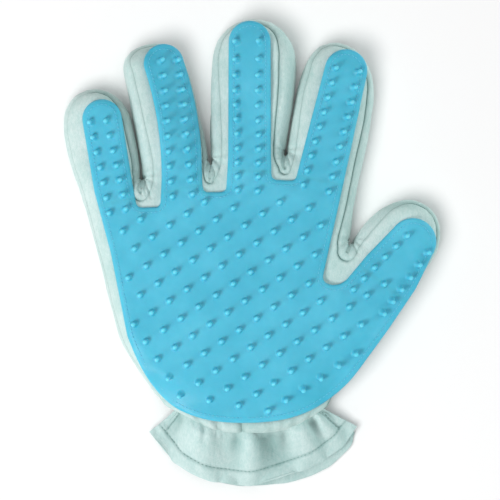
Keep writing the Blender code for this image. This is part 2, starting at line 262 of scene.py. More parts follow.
def clear_of(points, others, gap):
    """Those points that are at least gap from every one of the others."""
    return points[nearest_distances(points, others) >= gap]


class Plan:
    """Points and lines in plan, to be triangulated together."""

    def __init__(self):
        self.points = []
        self.edges = []
        self.count = 0

    def add(self, points, line=False, closed=False):
        """Adds points, joined up if they are a line, and returns the number of the first."""
        first = self.count
        self.points.append(np.asarray(points, float))
        self.count += len(points)
        if line:
            self.edges += [(i, i + 1) for i in range(first, self.count - 1)]
        if closed:
            self.edges.append((self.count - 1, first))
        return first

    def solve(self, loop):
        """The points, the triangles that lie inside the loop, and where each point given went."""
        given = np.concatenate(self.points)
        corners = [Vector((float(x), float(y))) for x, y in given]
        found, _, faces, came_from, _, _ = delaunay_2d_cdt(corners, self.edges, [], 0, 1e-5, True)
        points = np.array([tuple(p) for p in found])
        faces = np.array(faces)
        a, b, c = (points[faces[:, i]] for i in range(3))
        twice = (b - a)[:, 0] * (c - a)[:, 1] - (b - a)[:, 1] * (c - a)[:, 0]
        faces[twice < 0] = faces[twice < 0][:, ::-1]
        kept = (abs(twice) > 1e-7) & inside((a + b + c) / 3, loop)
        place = np.full(len(given), -1)
        for i, sources in enumerate(came_from):
            for s in sources:
                place[s] = i
        return points, faces[kept], place


def split_line(a, b, step):
    """Points from one side of a finger's root to the other, close together near both ends."""
    length = float(np.linalg.norm(b - a))
    ends = np.array([0, 0.1, 0.35, 0.8, 1.5])
    middle = np.linspace(1.5, length - 1.5, max(2, round((length - 3) / step)))
    at = np.concatenate([ends, middle[1:-1], length - ends[::-1]])
    return a + (b - a) * (at / length)[:, None]


def rise(gap, rounding, power):
    """How a half of the glove rises from its silhouette, from 0 to 1."""
    short = 1 - np.clip(gap / rounding, 0, 1)
    return (1 - short ** power) ** (1 / power)


def mix(a, b, s):
    return a + (b - a) * s


def lean(points, nearest):
    """How much higher the front is where a finger is turned, at full rise."""
    lift = np.zeros(len(points))
    for number, name in enumerate(KNUCKLES):
        u, v = finger_place(name, points)
        lift += (nearest == number) * KNUCKLES[name][2] * v * smooth(u, 4, 30)
    return lift


WRIST_ROUNDING = 40.0


def body_height(points, gap, nearest, front):
    wrist = smooth(points[:, 1], -56, -80)
    power = mix(ROUNDNESS, 2, wrist)
    if not front:
        up = rise(gap, mix(BACK_ROUNDING, WRIST_ROUNDING, wrist), power)
        return MIDDLE - mix(MIDDLE, WRIST_HALF_HEIGHT, wrist) * up
    up = rise(gap, mix(FRONT_ROUNDING, WRIST_ROUNDING, wrist), power)
    top = mix(FRONT_TOP, MIDDLE + WRIST_HALF_HEIGHT, wrist) + CROWN * smooth(gap, 4, 18) * (1 - wrist)
    return MIDDLE + (top - MIDDLE + lean(points, nearest)) * up


def bell(distance, width):
    """1 at no distance, and falling away over the width."""
    return np.exp(-(distance / width) ** 2)


def vertex_normals(points, faces):
    a, b, c = (points[faces[:, i]] for i in range(3))
    across = np.cross(b - a, c - a)
    out = np.zeros_like(points)
    for i in range(3):
        np.add.at(out, faces[:, i], across)
    return unit_rows(out)


def noise_at(points, size, seed):
    """Smooth noise of about -1 to 1 at each point, whose lumps are about `size` across in each direction."""
    scaled = points / np.array(size, float) + seed
    return np.array([noise.noise(Vector(p)) for p in scaled])


def border(faces):
    """The edges that only one of the faces has, in that face's direction."""
    ends = np.concatenate([faces[:, [0, 1]], faces[:, [1, 2]], faces[:, [2, 0]]])
    known = {(int(a), int(b)) for a, b in ends}
    return [edge for edge in known if edge[::-1] not in known]


def shell(points, normals, faces, thickness):
    """A patch of a surface as a closed shell, and which point of the patch each of its points is."""
    points, normals, faces, origin = parted_at_pinches(points, normals, faces)
    used, flat = np.unique(faces, return_inverse=True)
    faces = flat.reshape(-1, 3)
    outer = points[used]
    inner = outer - normals[used] * thickness
    count = len(used)
    rim = []
    for a, b in border(faces):
        rim += [(b, a, a + count), (b, a + count, b + count)]
    return np.concatenate([outer, inner]), [*faces, *(faces[:, ::-1] + count), *rim], np.tile(origin[used], 2)


PINCH_GAP = 0.08


def parted_at_pinches(points, normals, faces):
    """Where a patch touches itself at one point only, each side gets its own point, a little apart."""
    starts = np.array([edge[0] for edge in border(faces)])
    pinches = [p for p, times in zip(*np.unique(starts, return_counts=True)) if times > 1]
    faces, origin = faces.copy(), list(range(len(points)))
    points, normals = list(points), list(normals)
    for pinch in pinches:
        fans = []
        for number in np.nonzero((faces == pinch).any(1))[0]:
            others = set(faces[number].tolist()) - {pinch}
            touching = [fan for fan in fans if fan[0] & others]
            fans = [fan for fan in fans if not fan[0] & others]
            around = set.union(others, *[fan[0] for fan in touching])
            fans.append((around, sum([fan[1] for fan in touching], [number])))
        for around, numbers in fans[1:]:
            middle = np.mean([points[i] for i in around], axis=0)
            faces[numbers] = np.where(faces[numbers] == pinch, len(points), faces[numbers])
            points.append(mix(points[pinch], middle, PINCH_GAP))
            normals.append(normals[pinch])
            origin.append(origin[pinch])
    return np.array(points), np.array(normals), faces, np.array(origin)


SHARP_DEGREES = 55


def make_piece(name, body, points, faces, material, replaced=(), painted_light=None):
    """An object of points in millimetres: a palm piece rides on the palm's body, and any other stays where it
    is made.
    """
    mesh = bpy.data.meshes.new(name)
    mesh.from_pydata((np.asarray(points, float) * MM).tolist(), [], [tuple(int(i) for i in f) for f in faces])
    mesh.validate()
    mesh.shade_smooth()
    mesh.set_sharp_from_angle(angle=math.radians(SHARP_DEGREES))
    # Each point's share of painted light: painted shade in creases, slits, tucks, folds and hem grooves, and
    # a painted highlight on the nubs' tips.
    values = np.zeros(len(points)) if painted_light is None else np.asarray(painted_light, float)
    mesh.attributes.new("painted_light", "FLOAT", "POINT").data.foreach_set("value", values)
    mesh.materials.append(material)
    obj = bpy.data.objects.new(name, mesh)
    bpy.context.collection.objects.link(obj)
    if body == "palm":
        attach(obj, body)
    else:
        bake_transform(obj)
    if replaced:
        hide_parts(*replaced)
    return obj


def body_of(finger):
    return finger if finger in ("palm", "thumb") else finger + "_finger"


def finger_regions(outline, ends):
    """Each finger's closed region: the outline between its two ends."""
    return {name: outline[first:last + 1] for name, (first, last) in ends.items()}


def sort_to_bodies(centres, regions):
    """The name of the finger, or palm, that each point is in."""
    names = np.full(len(centres), "palm", dtype=object)
    for name, region in regions.items():
        names[inside(centres, region)] = name
    return names


def ring_faces(low, high):
    """The triangles between two closed rings of point numbers."""
    faces = []
    for k in range(len(low)):
        n = (k + 1) % len(low)
        faces += [(low[k], low[n], high[n]), (low[k], high[n], high[k])]
    return faces


def loft_faces(rows, count, closed=False):
    """The triangles from each ring of points to the next, and from the last to the first if closed."""
    rings = np.arange(rows * count).reshape(rows, count)
    following = np.roll(rings, -1, axis=0)
    if not closed:
        rings, following = rings[:-1], following[:-1]
    return np.array([face for low, high in zip(rings, following) for face in ring_faces(low, high)])


def tube(path, radii, sides):
    """A closed tube along a path, with a radius for each of its points."""
    ahead = unit_rows(np.gradient(path, axis=0))
    side = unit_rows(np.cross(ahead, (0, 0, 1.0)))
    over = np.cross(side, ahead)
    turns = np.arange(sides) * 2 * math.pi / sides
    rings = path[:, None] + radii[:, None, None] * (
        np.cos(turns)[None, :, None] * side[:, None] + np.sin(turns)[None, :, None] * over[:, None]
    )
    points = [*rings.reshape(-1, 3), path[0], path[-1]]
    head, tail, last = len(points) - 2, len(points) - 1, (len(path) - 1) * sides
    caps = []
    for k in range(sides):
        n = (k + 1) % sides
        caps += [(head, k, n), (tail, last + n, last + k)]
    return np.array(points), np.concatenate([loft_faces(len(path), sides)[:, ::-1], caps])


def owner_runs(owners):
    """The stretches with one owner: (owner, first, one past the last)."""
    first = 0
    for i in range(1, len(owners) + 1):
        if i == len(owners) or owners[i] != owners[first]:
            yield owners[first], first, i
            first = i


def joined(parts):
    """Several (points, faces) as one."""
    points, faces, count = [], [], 0
    for some_points, some_faces in parts:
        points.append(some_points)
        faces.append(np.asarray(some_faces) + count)
        count += len(some_points)
    return np.concatenate(points), np.concatenate(faces)

# ---- the plush body ----

WRIST_POINTS = 60
WRIST_MARGIN = 0.5
FABRIC_SPLIT_STEP = 0.6
FINE_GRID = 0.8
FINE_REACH = 10.5
FINE_BELOW = 4  # how far below where the fingers part the middle of the fine grid is


def half_plan(outline, inward, insets, ends, distances, grid, seam_insets):
    """One half of the glove in plan: points, faces and the seam's place in it."""
    plan = Plan()
    corner = np.concatenate([[True], np.linalg.norm(np.diff(outline, axis=0), axis=1) > 1e-6])
    rim = outline[corner]
    seam = outline + inward * seam_insets[:, None]
    for end in (0, -1):
        seam[end, 1] = wrist_line(seam[end, 0])
    xs = np.sort(np.concatenate([np.linspace(rim[0, 0], rim[-1, 0], WRIST_POINTS), seam[[0, -1], 0]]))
    mouth = np.stack([xs, wrist_line(xs)], axis=1)
    loop = np.concatenate([rim, mouth[1:-1][::-1]])
    plan.add(loop, line=True, closed=True)
    seam_first = plan.add(seam, line=True)
    rings = [seam]
    for distance in distances:
        reach = distance(seam_insets)
        ring = (outline + inward * reach[:, None])[reach > 0]
        ring = ring[(ring[:, 1] > wrist_line(ring[:, 0]) + WRIST_MARGIN) & inside(ring, loop)]
        rings.append(ring)
        plan.add(ring)
    for first, last in ends.values():
        line = split_line(outline[first], outline[last], FABRIC_SPLIT_STEP)
        plan.add(line, line=True)
        rings.append(line)
    fixed = np.concatenate([rim, mouth, *rings])
    if grid == FRONT_GRID:
        fine = hex_grid(loop, FINE_GRID)
        centres = [(x, y - FINE_BELOW) for x, y in CROTCHES]
        close = np.min([np.hypot(*(fine - centre).T) for centre in centres], axis=0) < FINE_REACH
        fine = clear_of(fine[close & inside(fine, loop)], fixed, FINE_GRID * 0.5)
        plan.add(fine)
        fixed = np.concatenate([fixed, fine])
    fill = hex_grid(loop, grid)
    fill = fill[inside(fill, loop)]
    plan.add(clear_of(fill, fixed, grid * 0.55))
    points, faces, place = plan.solve(loop)
    seam_loop = np.concatenate([seam, mouth[(xs > seam[0, 0]) & (xs < seam[-1, 0])][::-1]])
    return {
        "points": points, "faces": faces, "rim": place[:len(rim)], "mouth": place[len(rim):len(loop)],
        "seam": place[seam_first:seam_first + len(seam)], "seam_loop": seam_loop, "seam_path": seam,
    }


FRONT_RINGS = [
    lambda inset: np.full(len(inset), 0.12),
    lambda inset: np.minimum(0.42, inset * 0.4),
    lambda inset: np.where(inset > 1.7, 0.9, 0),
    lambda inset: np.where(inset > 2.6, 1.6, 0),
    lambda inset: np.where(inset > 3.7, 2.6, 0),
    lambda inset: np.where(inset > 5.2, 3.8, 0),
    lambda inset: inset - np.minimum(0.5, inset * 0.3),
    lambda inset: inset + 0.5,
    lambda inset: inset + 1.1,
    lambda inset: inset + 2.2,
]
BACK_RINGS = [
    lambda inset: np.full(len(inset), 0.2),
    lambda inset: np.full(len(inset), 0.8),
    lambda inset: np.full(len(inset), 1.8),
    lambda inset: inset - 0.7,
    lambda inset: inset + 0.7,
    lambda inset: inset + 2.2,
]
SEAM_DEPTH = 0.95
SEAM_CREASE = 0.5
# How wide the painted shade along the seam's crease is.
SEAM_PAINTED_SHADE_WIDTH = 0.6
BACK_SEAM_SHARE = 0.5
# The closed slits below where the fingers part. A slit is where its own sides are nearer by
# the least amount.
SLIT_LEAST = 0.15
SLIT_DEPTH = 1.1
SLIT_WIDTH = 0.5
# Painted shade along each closed slit: how dark it is and how wide.
SLIT_PAINTED_SHADE = 0.55
SLIT_PAINTED_SHADE_WIDTH = 0.45
FAR = 99.0


def plush_surface():
    """The whole outer surface of the plush body, with the half and the seam each point belongs to."""
    outline, inward, insets, stretch = cut_at_wrist(LONG_OUTLINE, *STATION_COLUMNS)
    ends = fabric_ends(outline, stretch)
    front = half_plan(outline, inward, insets, ends, FRONT_RINGS, FRONT_GRID, insets)
    back_insets = np.full(len(insets), BACK_SEAM_INSET)
    back = half_plan(outline, inward, insets, ends, BACK_RINGS, BACK_GRID, back_insets)
    regions = finger_regions(outline, ends)
    shift = len(front["points"])
    number = np.arange(len(back["points"])) + shift
    number[back["rim"]] = front["rim"]
    flat = np.concatenate([front["points"], back["points"]])
    gap, segment = nearest_segment(flat, LONG_OUTLINE)
    gap[front["rim"]] = 0
    nearest = STATION_COLUMNS[2][segment]
    parted, parted_stretch = parted_outline()
    open_gap, segment = nearest_segment(flat, parted)
    in_slit = open_gap > gap + SLIT_LEAST
    slit_gap = np.where(in_slit, gap, FAR)
    height = body_height(flat, np.where(in_slit, open_gap, gap), nearest, True)
    height[shift:] = body_height(flat[shift:], gap[shift:], nearest[shift:], False)
    points = np.column_stack([flat, height])
    labels = []
    for half, panel in ((front, "palm_panel"), (back, "back_panel")):
        centres = half["points"][half["faces"]].mean(1)
        part = np.where(inside(centres, half["seam_loop"]), panel, "gusset")
        labels += list(zip(sort_to_bodies(centres, regions), part))
    faces = np.concatenate([front["faces"], number[back["faces"]][:, ::-1]])
    to_seam = [nearest_segment(half["points"], half["seam_path"]) for half in (front, back)]
    seam_gap = np.concatenate([gaps for gaps, _ in to_seam])
    front["strength"] = seam_strength(inward, stretch)
    strength = np.concatenate([front["strength"][segment] for _, segment in to_seam])
    strength[shift:] *= BACK_SEAM_SHARE
    normals = vertex_normals(points, faces)
    relief = plush_relief(points, gap, nearest, shift)
    relief -= SEAM_DEPTH * strength * bell(seam_gap, SEAM_CREASE)
    relief[:shift] -= SLIT_DEPTH * bell(slit_gap[:shift], SLIT_WIDTH)
    points = points + normals * relief[:, None]
    front["seam_bodies"] = sort_to_bodies(outline + inward * (insets * 0.5)[:, None], regions)
    first, last = front["rim"][[0, -1]]
    mouth = np.concatenate([front["mouth"], [first], number[back["mouth"]][::-1], [last]])
    # Painted shade along the seam's crease, and along the closed slits below the crotches.
    painted_light = strength * bell(seam_gap, SEAM_PAINTED_SHADE_WIDTH)
    painted_light[:shift] = np.maximum(painted_light[:shift], SLIT_PAINTED_SHADE * bell(slit_gap[:shift], SLIT_PAINTED_SHADE_WIDTH))
    return points, faces, labels, painted_light, front, mouth


# On the sides that face the light, the seam is shallower and gets less painted shade.
LIT_SIDE_SEAM = 0.42
FLAT_SEAM = 0.12


def seam_strength(inward, stretch):
    """How deep the seam's crease is and how much painted shade it gets: full on the fingers' thumb sides,
    which face away from the light, less on the sides that face it, and nearly flat along the little side.
    """
    strength = mix(LIT_SIDE_SEAM, 1.0, smooth(-inward[:, 0], -0.5, 0.5))
    little_side = (stretch == 0) & (inward[:, 0] > 0.3)
    return np.where(little_side, FLAT_SEAM, strength)


# Folds in the plush, each with its depth and width: out from the crotches, and along the little side.
CREASES = [
    ([(-54.8, 37.8), (-53.4, 34.5), (-52.0, 31), (-50.9, 27.4)], 0.8, 0.55),
    ([(-54.8, 37.8), (-57.0, 35.0), (-57.6, 32.3), (-55.2, 28.8)], 0.5, 0.5),
    ([(-54.6, 36.6), (-54.4, 32.5), (-53.4, 29.3)], 0.45, 0.5),
    ([(-21.5, 47.2), (-22.8, 44.2), (-23.6, 41.2)], 0.6, 0.5),
    ([(-21.5, 47.2), (-20.3, 42.0), (-19.3, 38.2), (-20.0, 34.8)], 0.75, 0.5),
    ([(-20.6, 46.5), (-17.9, 44.8), (-16.2, 42.0), (-16.4, 38.6)], 0.45, 0.5),
    ([(16.0, 51.0), (13.4, 48.0), (10.8, 46.6)], 0.7, 0.5),
    ([(16.0, 50.5), (14.0, 46.4), (12.6, 43.4)], 0.45, 0.5),
    ([(16.0, 50.5), (15.3, 45.2), (14.6, 41.0)], 0.6, 0.5),
    ([(16.2, 50.5), (17.4, 46.2), (18.9, 43.6)], 0.5, 0.5),
    ([(49.5, 6.0), (48.4, 2.6), (47.6, -0.6)], 0.6, 0.55),
    ([(49.5, 6.0), (51.0, 2.2), (52.9, -0.9)], 0.7, 0.6),
    ([(49.5, 6.0), (46.6, 5.8), (44.9, 3.6)], 0.5, 0.6),
    ([(-73.5, 26), (-72, 16), (-69, 4), (-66, -9)], 0.3, 0.55),
]


def plush_relief(points, gap, nearest, shift):
    """How far the plush stands out from its smooth form: seams, folds at the crotches and soft unevenness."""
    front = np.arange(len(points)) < shift
    relief = 0.30 * noise_at(points, (11, 11, 11), 3.1) + 0.12 * noise_at(points, (4, 4, 4), 7.7)
    for number, name in enumerate(KNUCKLES):
        u, v = finger_place(name, points)
        pulled = np.column_stack([u, v, points[:, 2]])
        streaks = noise_at(pulled, (16, 2.2, 2.2), 1.7 + number)
        relief += (nearest == number) * 0.22 * streaks * smooth(u, -4, 10)
    for x, y in CROTCHES:
        away = points[:, :2] - (x, y)
        distance = np.hypot(*away.T)
        turn = np.arctan2(away[:, 1], away[:, 0])
        folds = np.cos(turn * 6 + 1.5 * np.sin(turn * 2) + distance * 0.08)
        relief += front * 0.55 * np.exp(-distance / 6.5) * folds * smooth(gap, 0.2, 2.0)
    for path, depth, width in CREASES:
        distance, _ = nearest_segment(points, curve(path, 1.5))
        relief -= front * depth * bell(distance, width)
    return relief


FABRIC_SIDE = 30


def level_station(u, v, mine, sign):
    """Of a finger's stations on one side, the one level with its fabric's split."""
    side = mine[(np.sign(v[mine]) == sign) & (abs(v[mine]) < FABRIC_SIDE)]
    return side[abs(u[side] - FABRIC_SPLIT).argmin()]


def fabric_ends(outline, stretch):
    """The stations where each finger's plush ends: the crotches, and level with them on the outer sides."""
    ends = {}
    for number, name in enumerate(KNUCKLES):
        mine = np.nonzero(stretch == number)[0]
        first, last = mine[0], mine[-1]
        u, v = finger_place(name, outline)
        if name == "little":
            first = level_station(u, v, mine, -1)
        if name in ("index", "thumb"):
            last = level_station(u, v, mine, 1)
        ends[name] = (first, last)
    return ends


BODIES = ["palm", *KNUCKLES]
PLUSH_NODES = {
    "palm_panel": ["palm_panel"],
    "back_panel": ["back_panel"],
    "gusset": ["little_side_gusset", "thumb_side_gusset"],
}
WEBS = ["web_little_ring", "web_ring_middle", "web_middle_index", "web_index_thumb"]


def build_plush(material):
    points, faces, labels, painted_light, front, mouth = plush_surface()
    normals = vertex_normals(points, faces)
    keys = np.array([f"{body} {part}" for body, part in labels])
    for body in BODIES:
        for part, nodes in PLUSH_NODES.items():
            mine = faces[keys == f"{body} {part}"]
            solid_points, solid_faces, source = shell(points, normals, mine, SHELL)
            replaced = [f"{body}_{node}" for node in nodes]
            if body == "palm":
                replaced = nodes + WEBS if part == "gusset" else nodes
            piece = make_piece(
                f"{body}_{part}_plush", body_of(body), solid_points, solid_faces, material,
                replaced, painted_light[source],
            )
    seam_threads(front, points)
    return points[mouth]


SEAM_THREAD = 0.24
THREAD_SIDES = 6


def seam_threads(front, points):
    """The line of thread that lies in the front seam."""
    seam = points[front["seam"]] - (0, 0, SEAM_THREAD / 2)
    keep = np.concatenate([[True], np.linalg.norm(np.diff(seam, axis=0), axis=1) > 0.05])
    seam, strength = seam[keep], front["strength"][keep]
    runs = {}
    for body, first, end in owner_runs(front["seam_bodies"][keep]):
        span = slice(max(0, first - 1), end + 1)
        # The thread is thicker where the seam's crease is deeper, and darker with the seam's painted shade.
        painted_light = strength[span]
        made = tube(seam[span], SEAM_THREAD * mix(0.6, 1, painted_light), THREAD_SIDES)
        painted_light_values = [*np.repeat(painted_light, THREAD_SIDES), painted_light[0], painted_light[-1]]
        runs.setdefault(body, []).append((made, painted_light_values))
    for body, parts in runs.items():
        thread_points, thread_faces = joined([made for made, _ in parts])
        make_piece(
            f"{body}_seam_thread", body_of(body), thread_points, thread_faces,
            MATERIALS["seam"], painted_light=np.concatenate([painted_light for _, painted_light in parts]),
        )

# ---- the silicone pad ----

# Each finger's part of the pad: its middle and half its width at the knuckle line, its tip, half its width
# there and how far it bows to the thumb's side. Then the tip and root of its two columns of nubs, how many
# nubs each has, and how much they crowd together.
PAD_FINGERS = {
    "little": (
        2.1, 9.7, (-75.3, 66.6), 9.9, 0.0,
        ((-80.5, 65), (-71.4, 19.7)), ((-72.9, 65.5), (-63.7, 21.4)), 7, 1,
    ),
    "ring": (
        2.5, 10.2, (-44.5, 94.2), 10.0, 2.3,
        ((-46.2, 95.5), (-40.2, 27.8)), ((-38.3, 96), (-30.5, 28.8)), 10, 1,
    ),
    "middle": (
        0.8, 10.7, (-1.7, 105.2), 10.5, 0.0,
        ((-8, 105), (-7.6, 31)), ((3.4, 105), (2.2, 30.6)), 11, 0.93,
    ),
    "index": (
        -0.4, 11.7, (46.4, 90.8), 10.7, 0.0,
        ((40.9, 91.8), (25.2, 33.5)), ((52, 90), (37.6, 30.2)), 9, 1,
    ),
    "thumb": (
        4.8, 14.8, (79.7, 5.3), 11.9, 0.0,
        ((76.5, 8.5), (50, -18.5)), ((86.5, 0), (64.6, -30)), 6, 1,
    ),
}
PAD_LITTLE_SIDE = [(-71, 0, 80)]
PAD_SLOTS = [
    [(-57.8, 22.4, 2.5), (-46.2, 22.7, 2.5)],
    [(-24.8, 30, 2.5), (-13.4, 30.3, 2.5)],
    [(9.3, 36.4, 2.5), (21.2, 35.9, 2.5)],
    [(34.3, -14.6, 3.5), (41.5, -16.9, 8), (46.6, -13.6, 5)],
]
PAD_BOTTOM = [(68, -37.8), (58, -51.5), (48.5, -64.0), (39, -72.6), (28, -79.3), (14.5, -83.5), (-2.6, -85.0),
              (-20.9, -83.9), (-35.6, -79.3), (-44.2, -73.2), (-51.5, -64.6), (-57.5, -54), (-62.7, -42)]
PAD_THICKNESS = 2.1
PAD_EDGE = 1.5  # how far in the pad's rounded edge reaches
PAD_EDGE_DROP = 1.6
PAD_SIDE_STEPS = 8
PAD_TIP_STEPS = 24
PAD_SIDE = 18  # the split's ends are no further than this from the finger's middle
PAD_SPLIT_REACH = 5
PAD_STIFF = 4.6  # the pad rests as if the plush were nowhere nearer to its edge than this
PAD_LIFT = 0.45
PAD_WRIST_LIFT = 1.5
PAD_RINGS = (0.1, 0.35, 0.8, PAD_EDGE)
PAD_GRID = 2.4
UNDER_GRID = 3.4
NUB_PITCH = 10.43
NUB_TURN = 33.6
NUB_ORIGIN = (-1.25, -9.8)
NUB_FOOT = 2.1
NUB_OPENING = NUB_FOOT * 0.985  # the pad has no faces with their middle nearer than this to a nub's
NUB_MARGIN = 4.6  # least distance from a palm nub to the pad's edge
NUB_CLEARANCE = 7.0  # least distance from a palm nub to a finger's nubs
NUB_REACH = range(-12, 13)
FINGER_SIDE = 22  # beyond a knuckle and nearer than this to the finger's middle, there are no palm nubs
NUB_PROFILE = [(1.76, 0.22), (1.50, 0.75), (1.36, 1.4), (1.26, 2.1), (1.13, 2.65), (0.84, 3.05), (0.45, 3.25)]
NUB_LEAN = 2.0
NUB_TOP = 3.32
NUB_SIDES = 14


def rounded(corners):
    """An outline's stretch with its corners (x, y, radius) as arcs. The two ends stay sharp."""
    points = [np.array(corners[0][:2], float)]
    for before, (x, y, radius), after in zip(corners, corners[1:], corners[2:]):
        corner = np.array([x, y], float)
        back = np.array(before[:2]) - corner
        ahead = np.array(after[:2]) - corner
        back /= np.linalg.norm(back)
        ahead /= np.linalg.norm(ahead)
        opening = math.acos(float(np.clip(back @ ahead, -1, 1)))
        middle = (back + ahead) / np.linalg.norm(back + ahead)
        centre = corner + middle * radius / math.sin(opening / 2)
        first = corner + back * radius / math.tan(opening / 2) - centre
        last = corner + ahead * radius / math.tan(opening / 2) - centre
        sweep = math.atan2(first[0] * last[1] - first[1] * last[0], first @ last)
        steps = max(2, math.ceil(abs(sweep) * radius / STEP))
        start = math.atan2(first[1], first[0])
        points += [centre + radius * unit(start + sweep * k / steps) for k in range(steps + 1)]
    points.append(np.array(corners[-1][:2], float))
    return points


def finger_pad_outline(name):
    """Up the little side of a finger's pad from its knuckle line, round its tip and down its thumb side."""
    knuckle, _, side = finger_axes(name)
    middle, half, tip, tip_half, bow = PAD_FINGERS[name][:5]
    root = knuckle + middle * side
    tip = np.array(tip, float)
    forward = (tip - root) / np.linalg.norm(tip - root)
    across = np.array([forward[1], -forward[0]])
    left, right = [root - half * side], [root + half * side]
    for s in np.linspace(0, 1, PAD_SIDE_STEPS + 1)[1:]:
        centre = root + (tip - root) * s + across * bow * 4 * s * (1 - s)
        reach = mix(half, tip_half, s)
        left.append(centre - reach * across)
        right.append(centre + reach * across)
    turns = np.linspace(0, math.pi, PAD_TIP_STEPS)[1:-1]
    arc = [tip + tip_half * (math.sin(t) * forward - math.cos(t) * across) for t in turns]
    return left + arc + right[::-1]


def run_along(path):
    """How far along a path each of its points is."""
    return np.concatenate([[0], np.cumsum(np.linalg.norm(np.diff(path, axis=0), axis=1))])


def on_path(path, run, at):
    """The points that are so far along a path."""
    return np.column_stack([np.interp(at, run, column) for column in path.T])


def even(path, step, closed=False):
    """The same path with points about step apart."""
    path = np.array(path, float)
    if closed:
        path = np.concatenate([path, path[:1]])
    run = run_along(path)
    count = max(2, round(run[-1] / step))
    at = np.linspace(0, run[-1], count + 1)[:count if closed else None]
    return on_path(path, run, at)


def pad_outline():
    """The pad's closed outline, from the thumb's side of the wrist up the little finger's side."""
    fingers = {name: finger_pad_outline(name) for name in KNUCKLES}
    ends = {name: ([*path[0], 0], [*path[-1], 0]) for name, path in fingers.items()}
    names = list(KNUCKLES)
    loop = [ends["thumb"][1][:2], *curve(PAD_BOTTOM, STEP)]
    loop += rounded([[*PAD_BOTTOM[-1], 0], *PAD_LITTLE_SIDE, ends["little"][0]])
    for i, name in enumerate(names):
        loop += fingers[name][1:-1]
        if i + 1 < len(names):
            loop += rounded([ends[name][1], *PAD_SLOTS[i], ends[names[i + 1]][0]])
    outline = even(loop, STEP, closed=True)
    return np.roll(outline, -int(outline[:, 1].argmin()), axis=0)


def pad_ends(outline):
    """Where the split across each finger's pad meets the outline."""
    ends = {}
    for name in KNUCKLES:
        u, v = finger_place(name, outline)
        middle = PAD_FINGERS[name][0]
        pair = []
        close = (abs(v - middle) < PAD_SIDE) & (abs(u - PAD_SPLIT) < PAD_SPLIT_REACH)
        for sign in (-1, 1):
            near = np.nonzero((np.sign(v - middle) == sign) & close)[0]
            pair.append(near[abs(u[near] - PAD_SPLIT).argmin()])
        ends[name] = tuple(pair)
    return ends


def nub_places(outline):
    """Two columns of nubs up each finger, and the palm's square lattice between their feet."""
    rows = []
    for name, (*_, left, right, count, crowding) in PAD_FINGERS.items():
        for tip, root in (left, right):
            s = (np.arange(count) / (count - 1)) ** crowding
            rows += list(mix(np.array(tip, float), np.array(root, float), s[:, None]))
    rows = np.array(rows)
    turn = math.radians(NUB_TURN)
    first, second = unit(turn) * NUB_PITCH, unit(turn - math.pi / 2) * NUB_PITCH
    origin = np.array(NUB_ORIGIN)
    lattice = np.array([origin + i * first + j * second for i in NUB_REACH for j in NUB_REACH])
    lattice = lattice[inside(lattice, outline)]
    closed = np.concatenate([outline, outline[:1]])
    lattice = lattice[nearest_segment(lattice, closed)[0] > NUB_MARGIN]
    for name in KNUCKLES:
        u, v = finger_place(name, lattice)
        lattice = lattice[~((u > 0) & (abs(v) < FINGER_SIDE))]
    return np.concatenate([rows, clear_of(lattice, rows, NUB_CLEARANCE)])


def pad_base(points):
    """The height of the pad's underside: the plush below it, but too stiff for the plush's steep edges."""
    gap, segment = nearest_segment(points, LONG_OUTLINE)
    nearest = STATION_COLUMNS[2][segment]
    gap = np.maximum(gap, PAD_STIFF)
    height = body_height(points, gap, nearest, True)
    waves = noise_at(np.column_stack([points, height]), (20, 20, 20), 5.5)
    return height + PAD_LIFT + PAD_WRIST_LIFT * smooth(points[:, 1], -66, -83) + 0.15 * waves


def pad_top(points, edge_gap):
    short = 1 - np.clip(edge_gap / PAD_EDGE, 0, 1)
    return pad_base(points) + PAD_THICKNESS - PAD_EDGE_DROP * (1 - np.sqrt(1 - short ** 2))


def ordered_loop(faces):
    """The border of a patch with one hole-free edge, as its points in order."""
    following = dict(border(faces))
    start = next(iter(following))
    loop = [start]
    while following[loop[-1]] != start:
        loop.append(following[loop[-1]])
    return loop


def add_nub(points, faces, painted_light, ring):
    """A turned rubber nub that grows out of the ring of points left for it."""
    foot = points[ring]
    middle = foot.mean(0)
    slope = np.linalg.lstsq(foot[:, :2] - middle[:2], foot[:, 2] - middle[2], rcond=None)[0]
    axis = np.array([*(-slope * NUB_LEAN), 1.0])
    axis /= np.linalg.norm(axis)
    spokes = foot - middle
    spokes -= (spokes @ axis)[:, None] * axis
    spokes = unit_rows(spokes)
    rows = [ring]
    new, count = [], len(points)
    for radius, height in NUB_PROFILE:
        new += list(middle + axis * height + spokes * radius)
        rows.append(np.arange(count, count + len(ring)))
        count += len(ring)
    new.append(middle + axis * NUB_TOP)
    for low, high in zip(rows, rows[1:]):
        faces += ring_faces(low, high)
    faces += [(rows[-1][k], rows[-1][(k + 1) % len(ring)], count) for k in range(len(ring))]
    # The nub's points carry their height, for a painted highlight that grows paler towards the tip.
    heights = np.repeat([height for _, height in NUB_PROFILE], len(ring))
    return np.concatenate([points, new]), faces, np.concatenate([painted_light, heights / NUB_TOP, [1.0]])


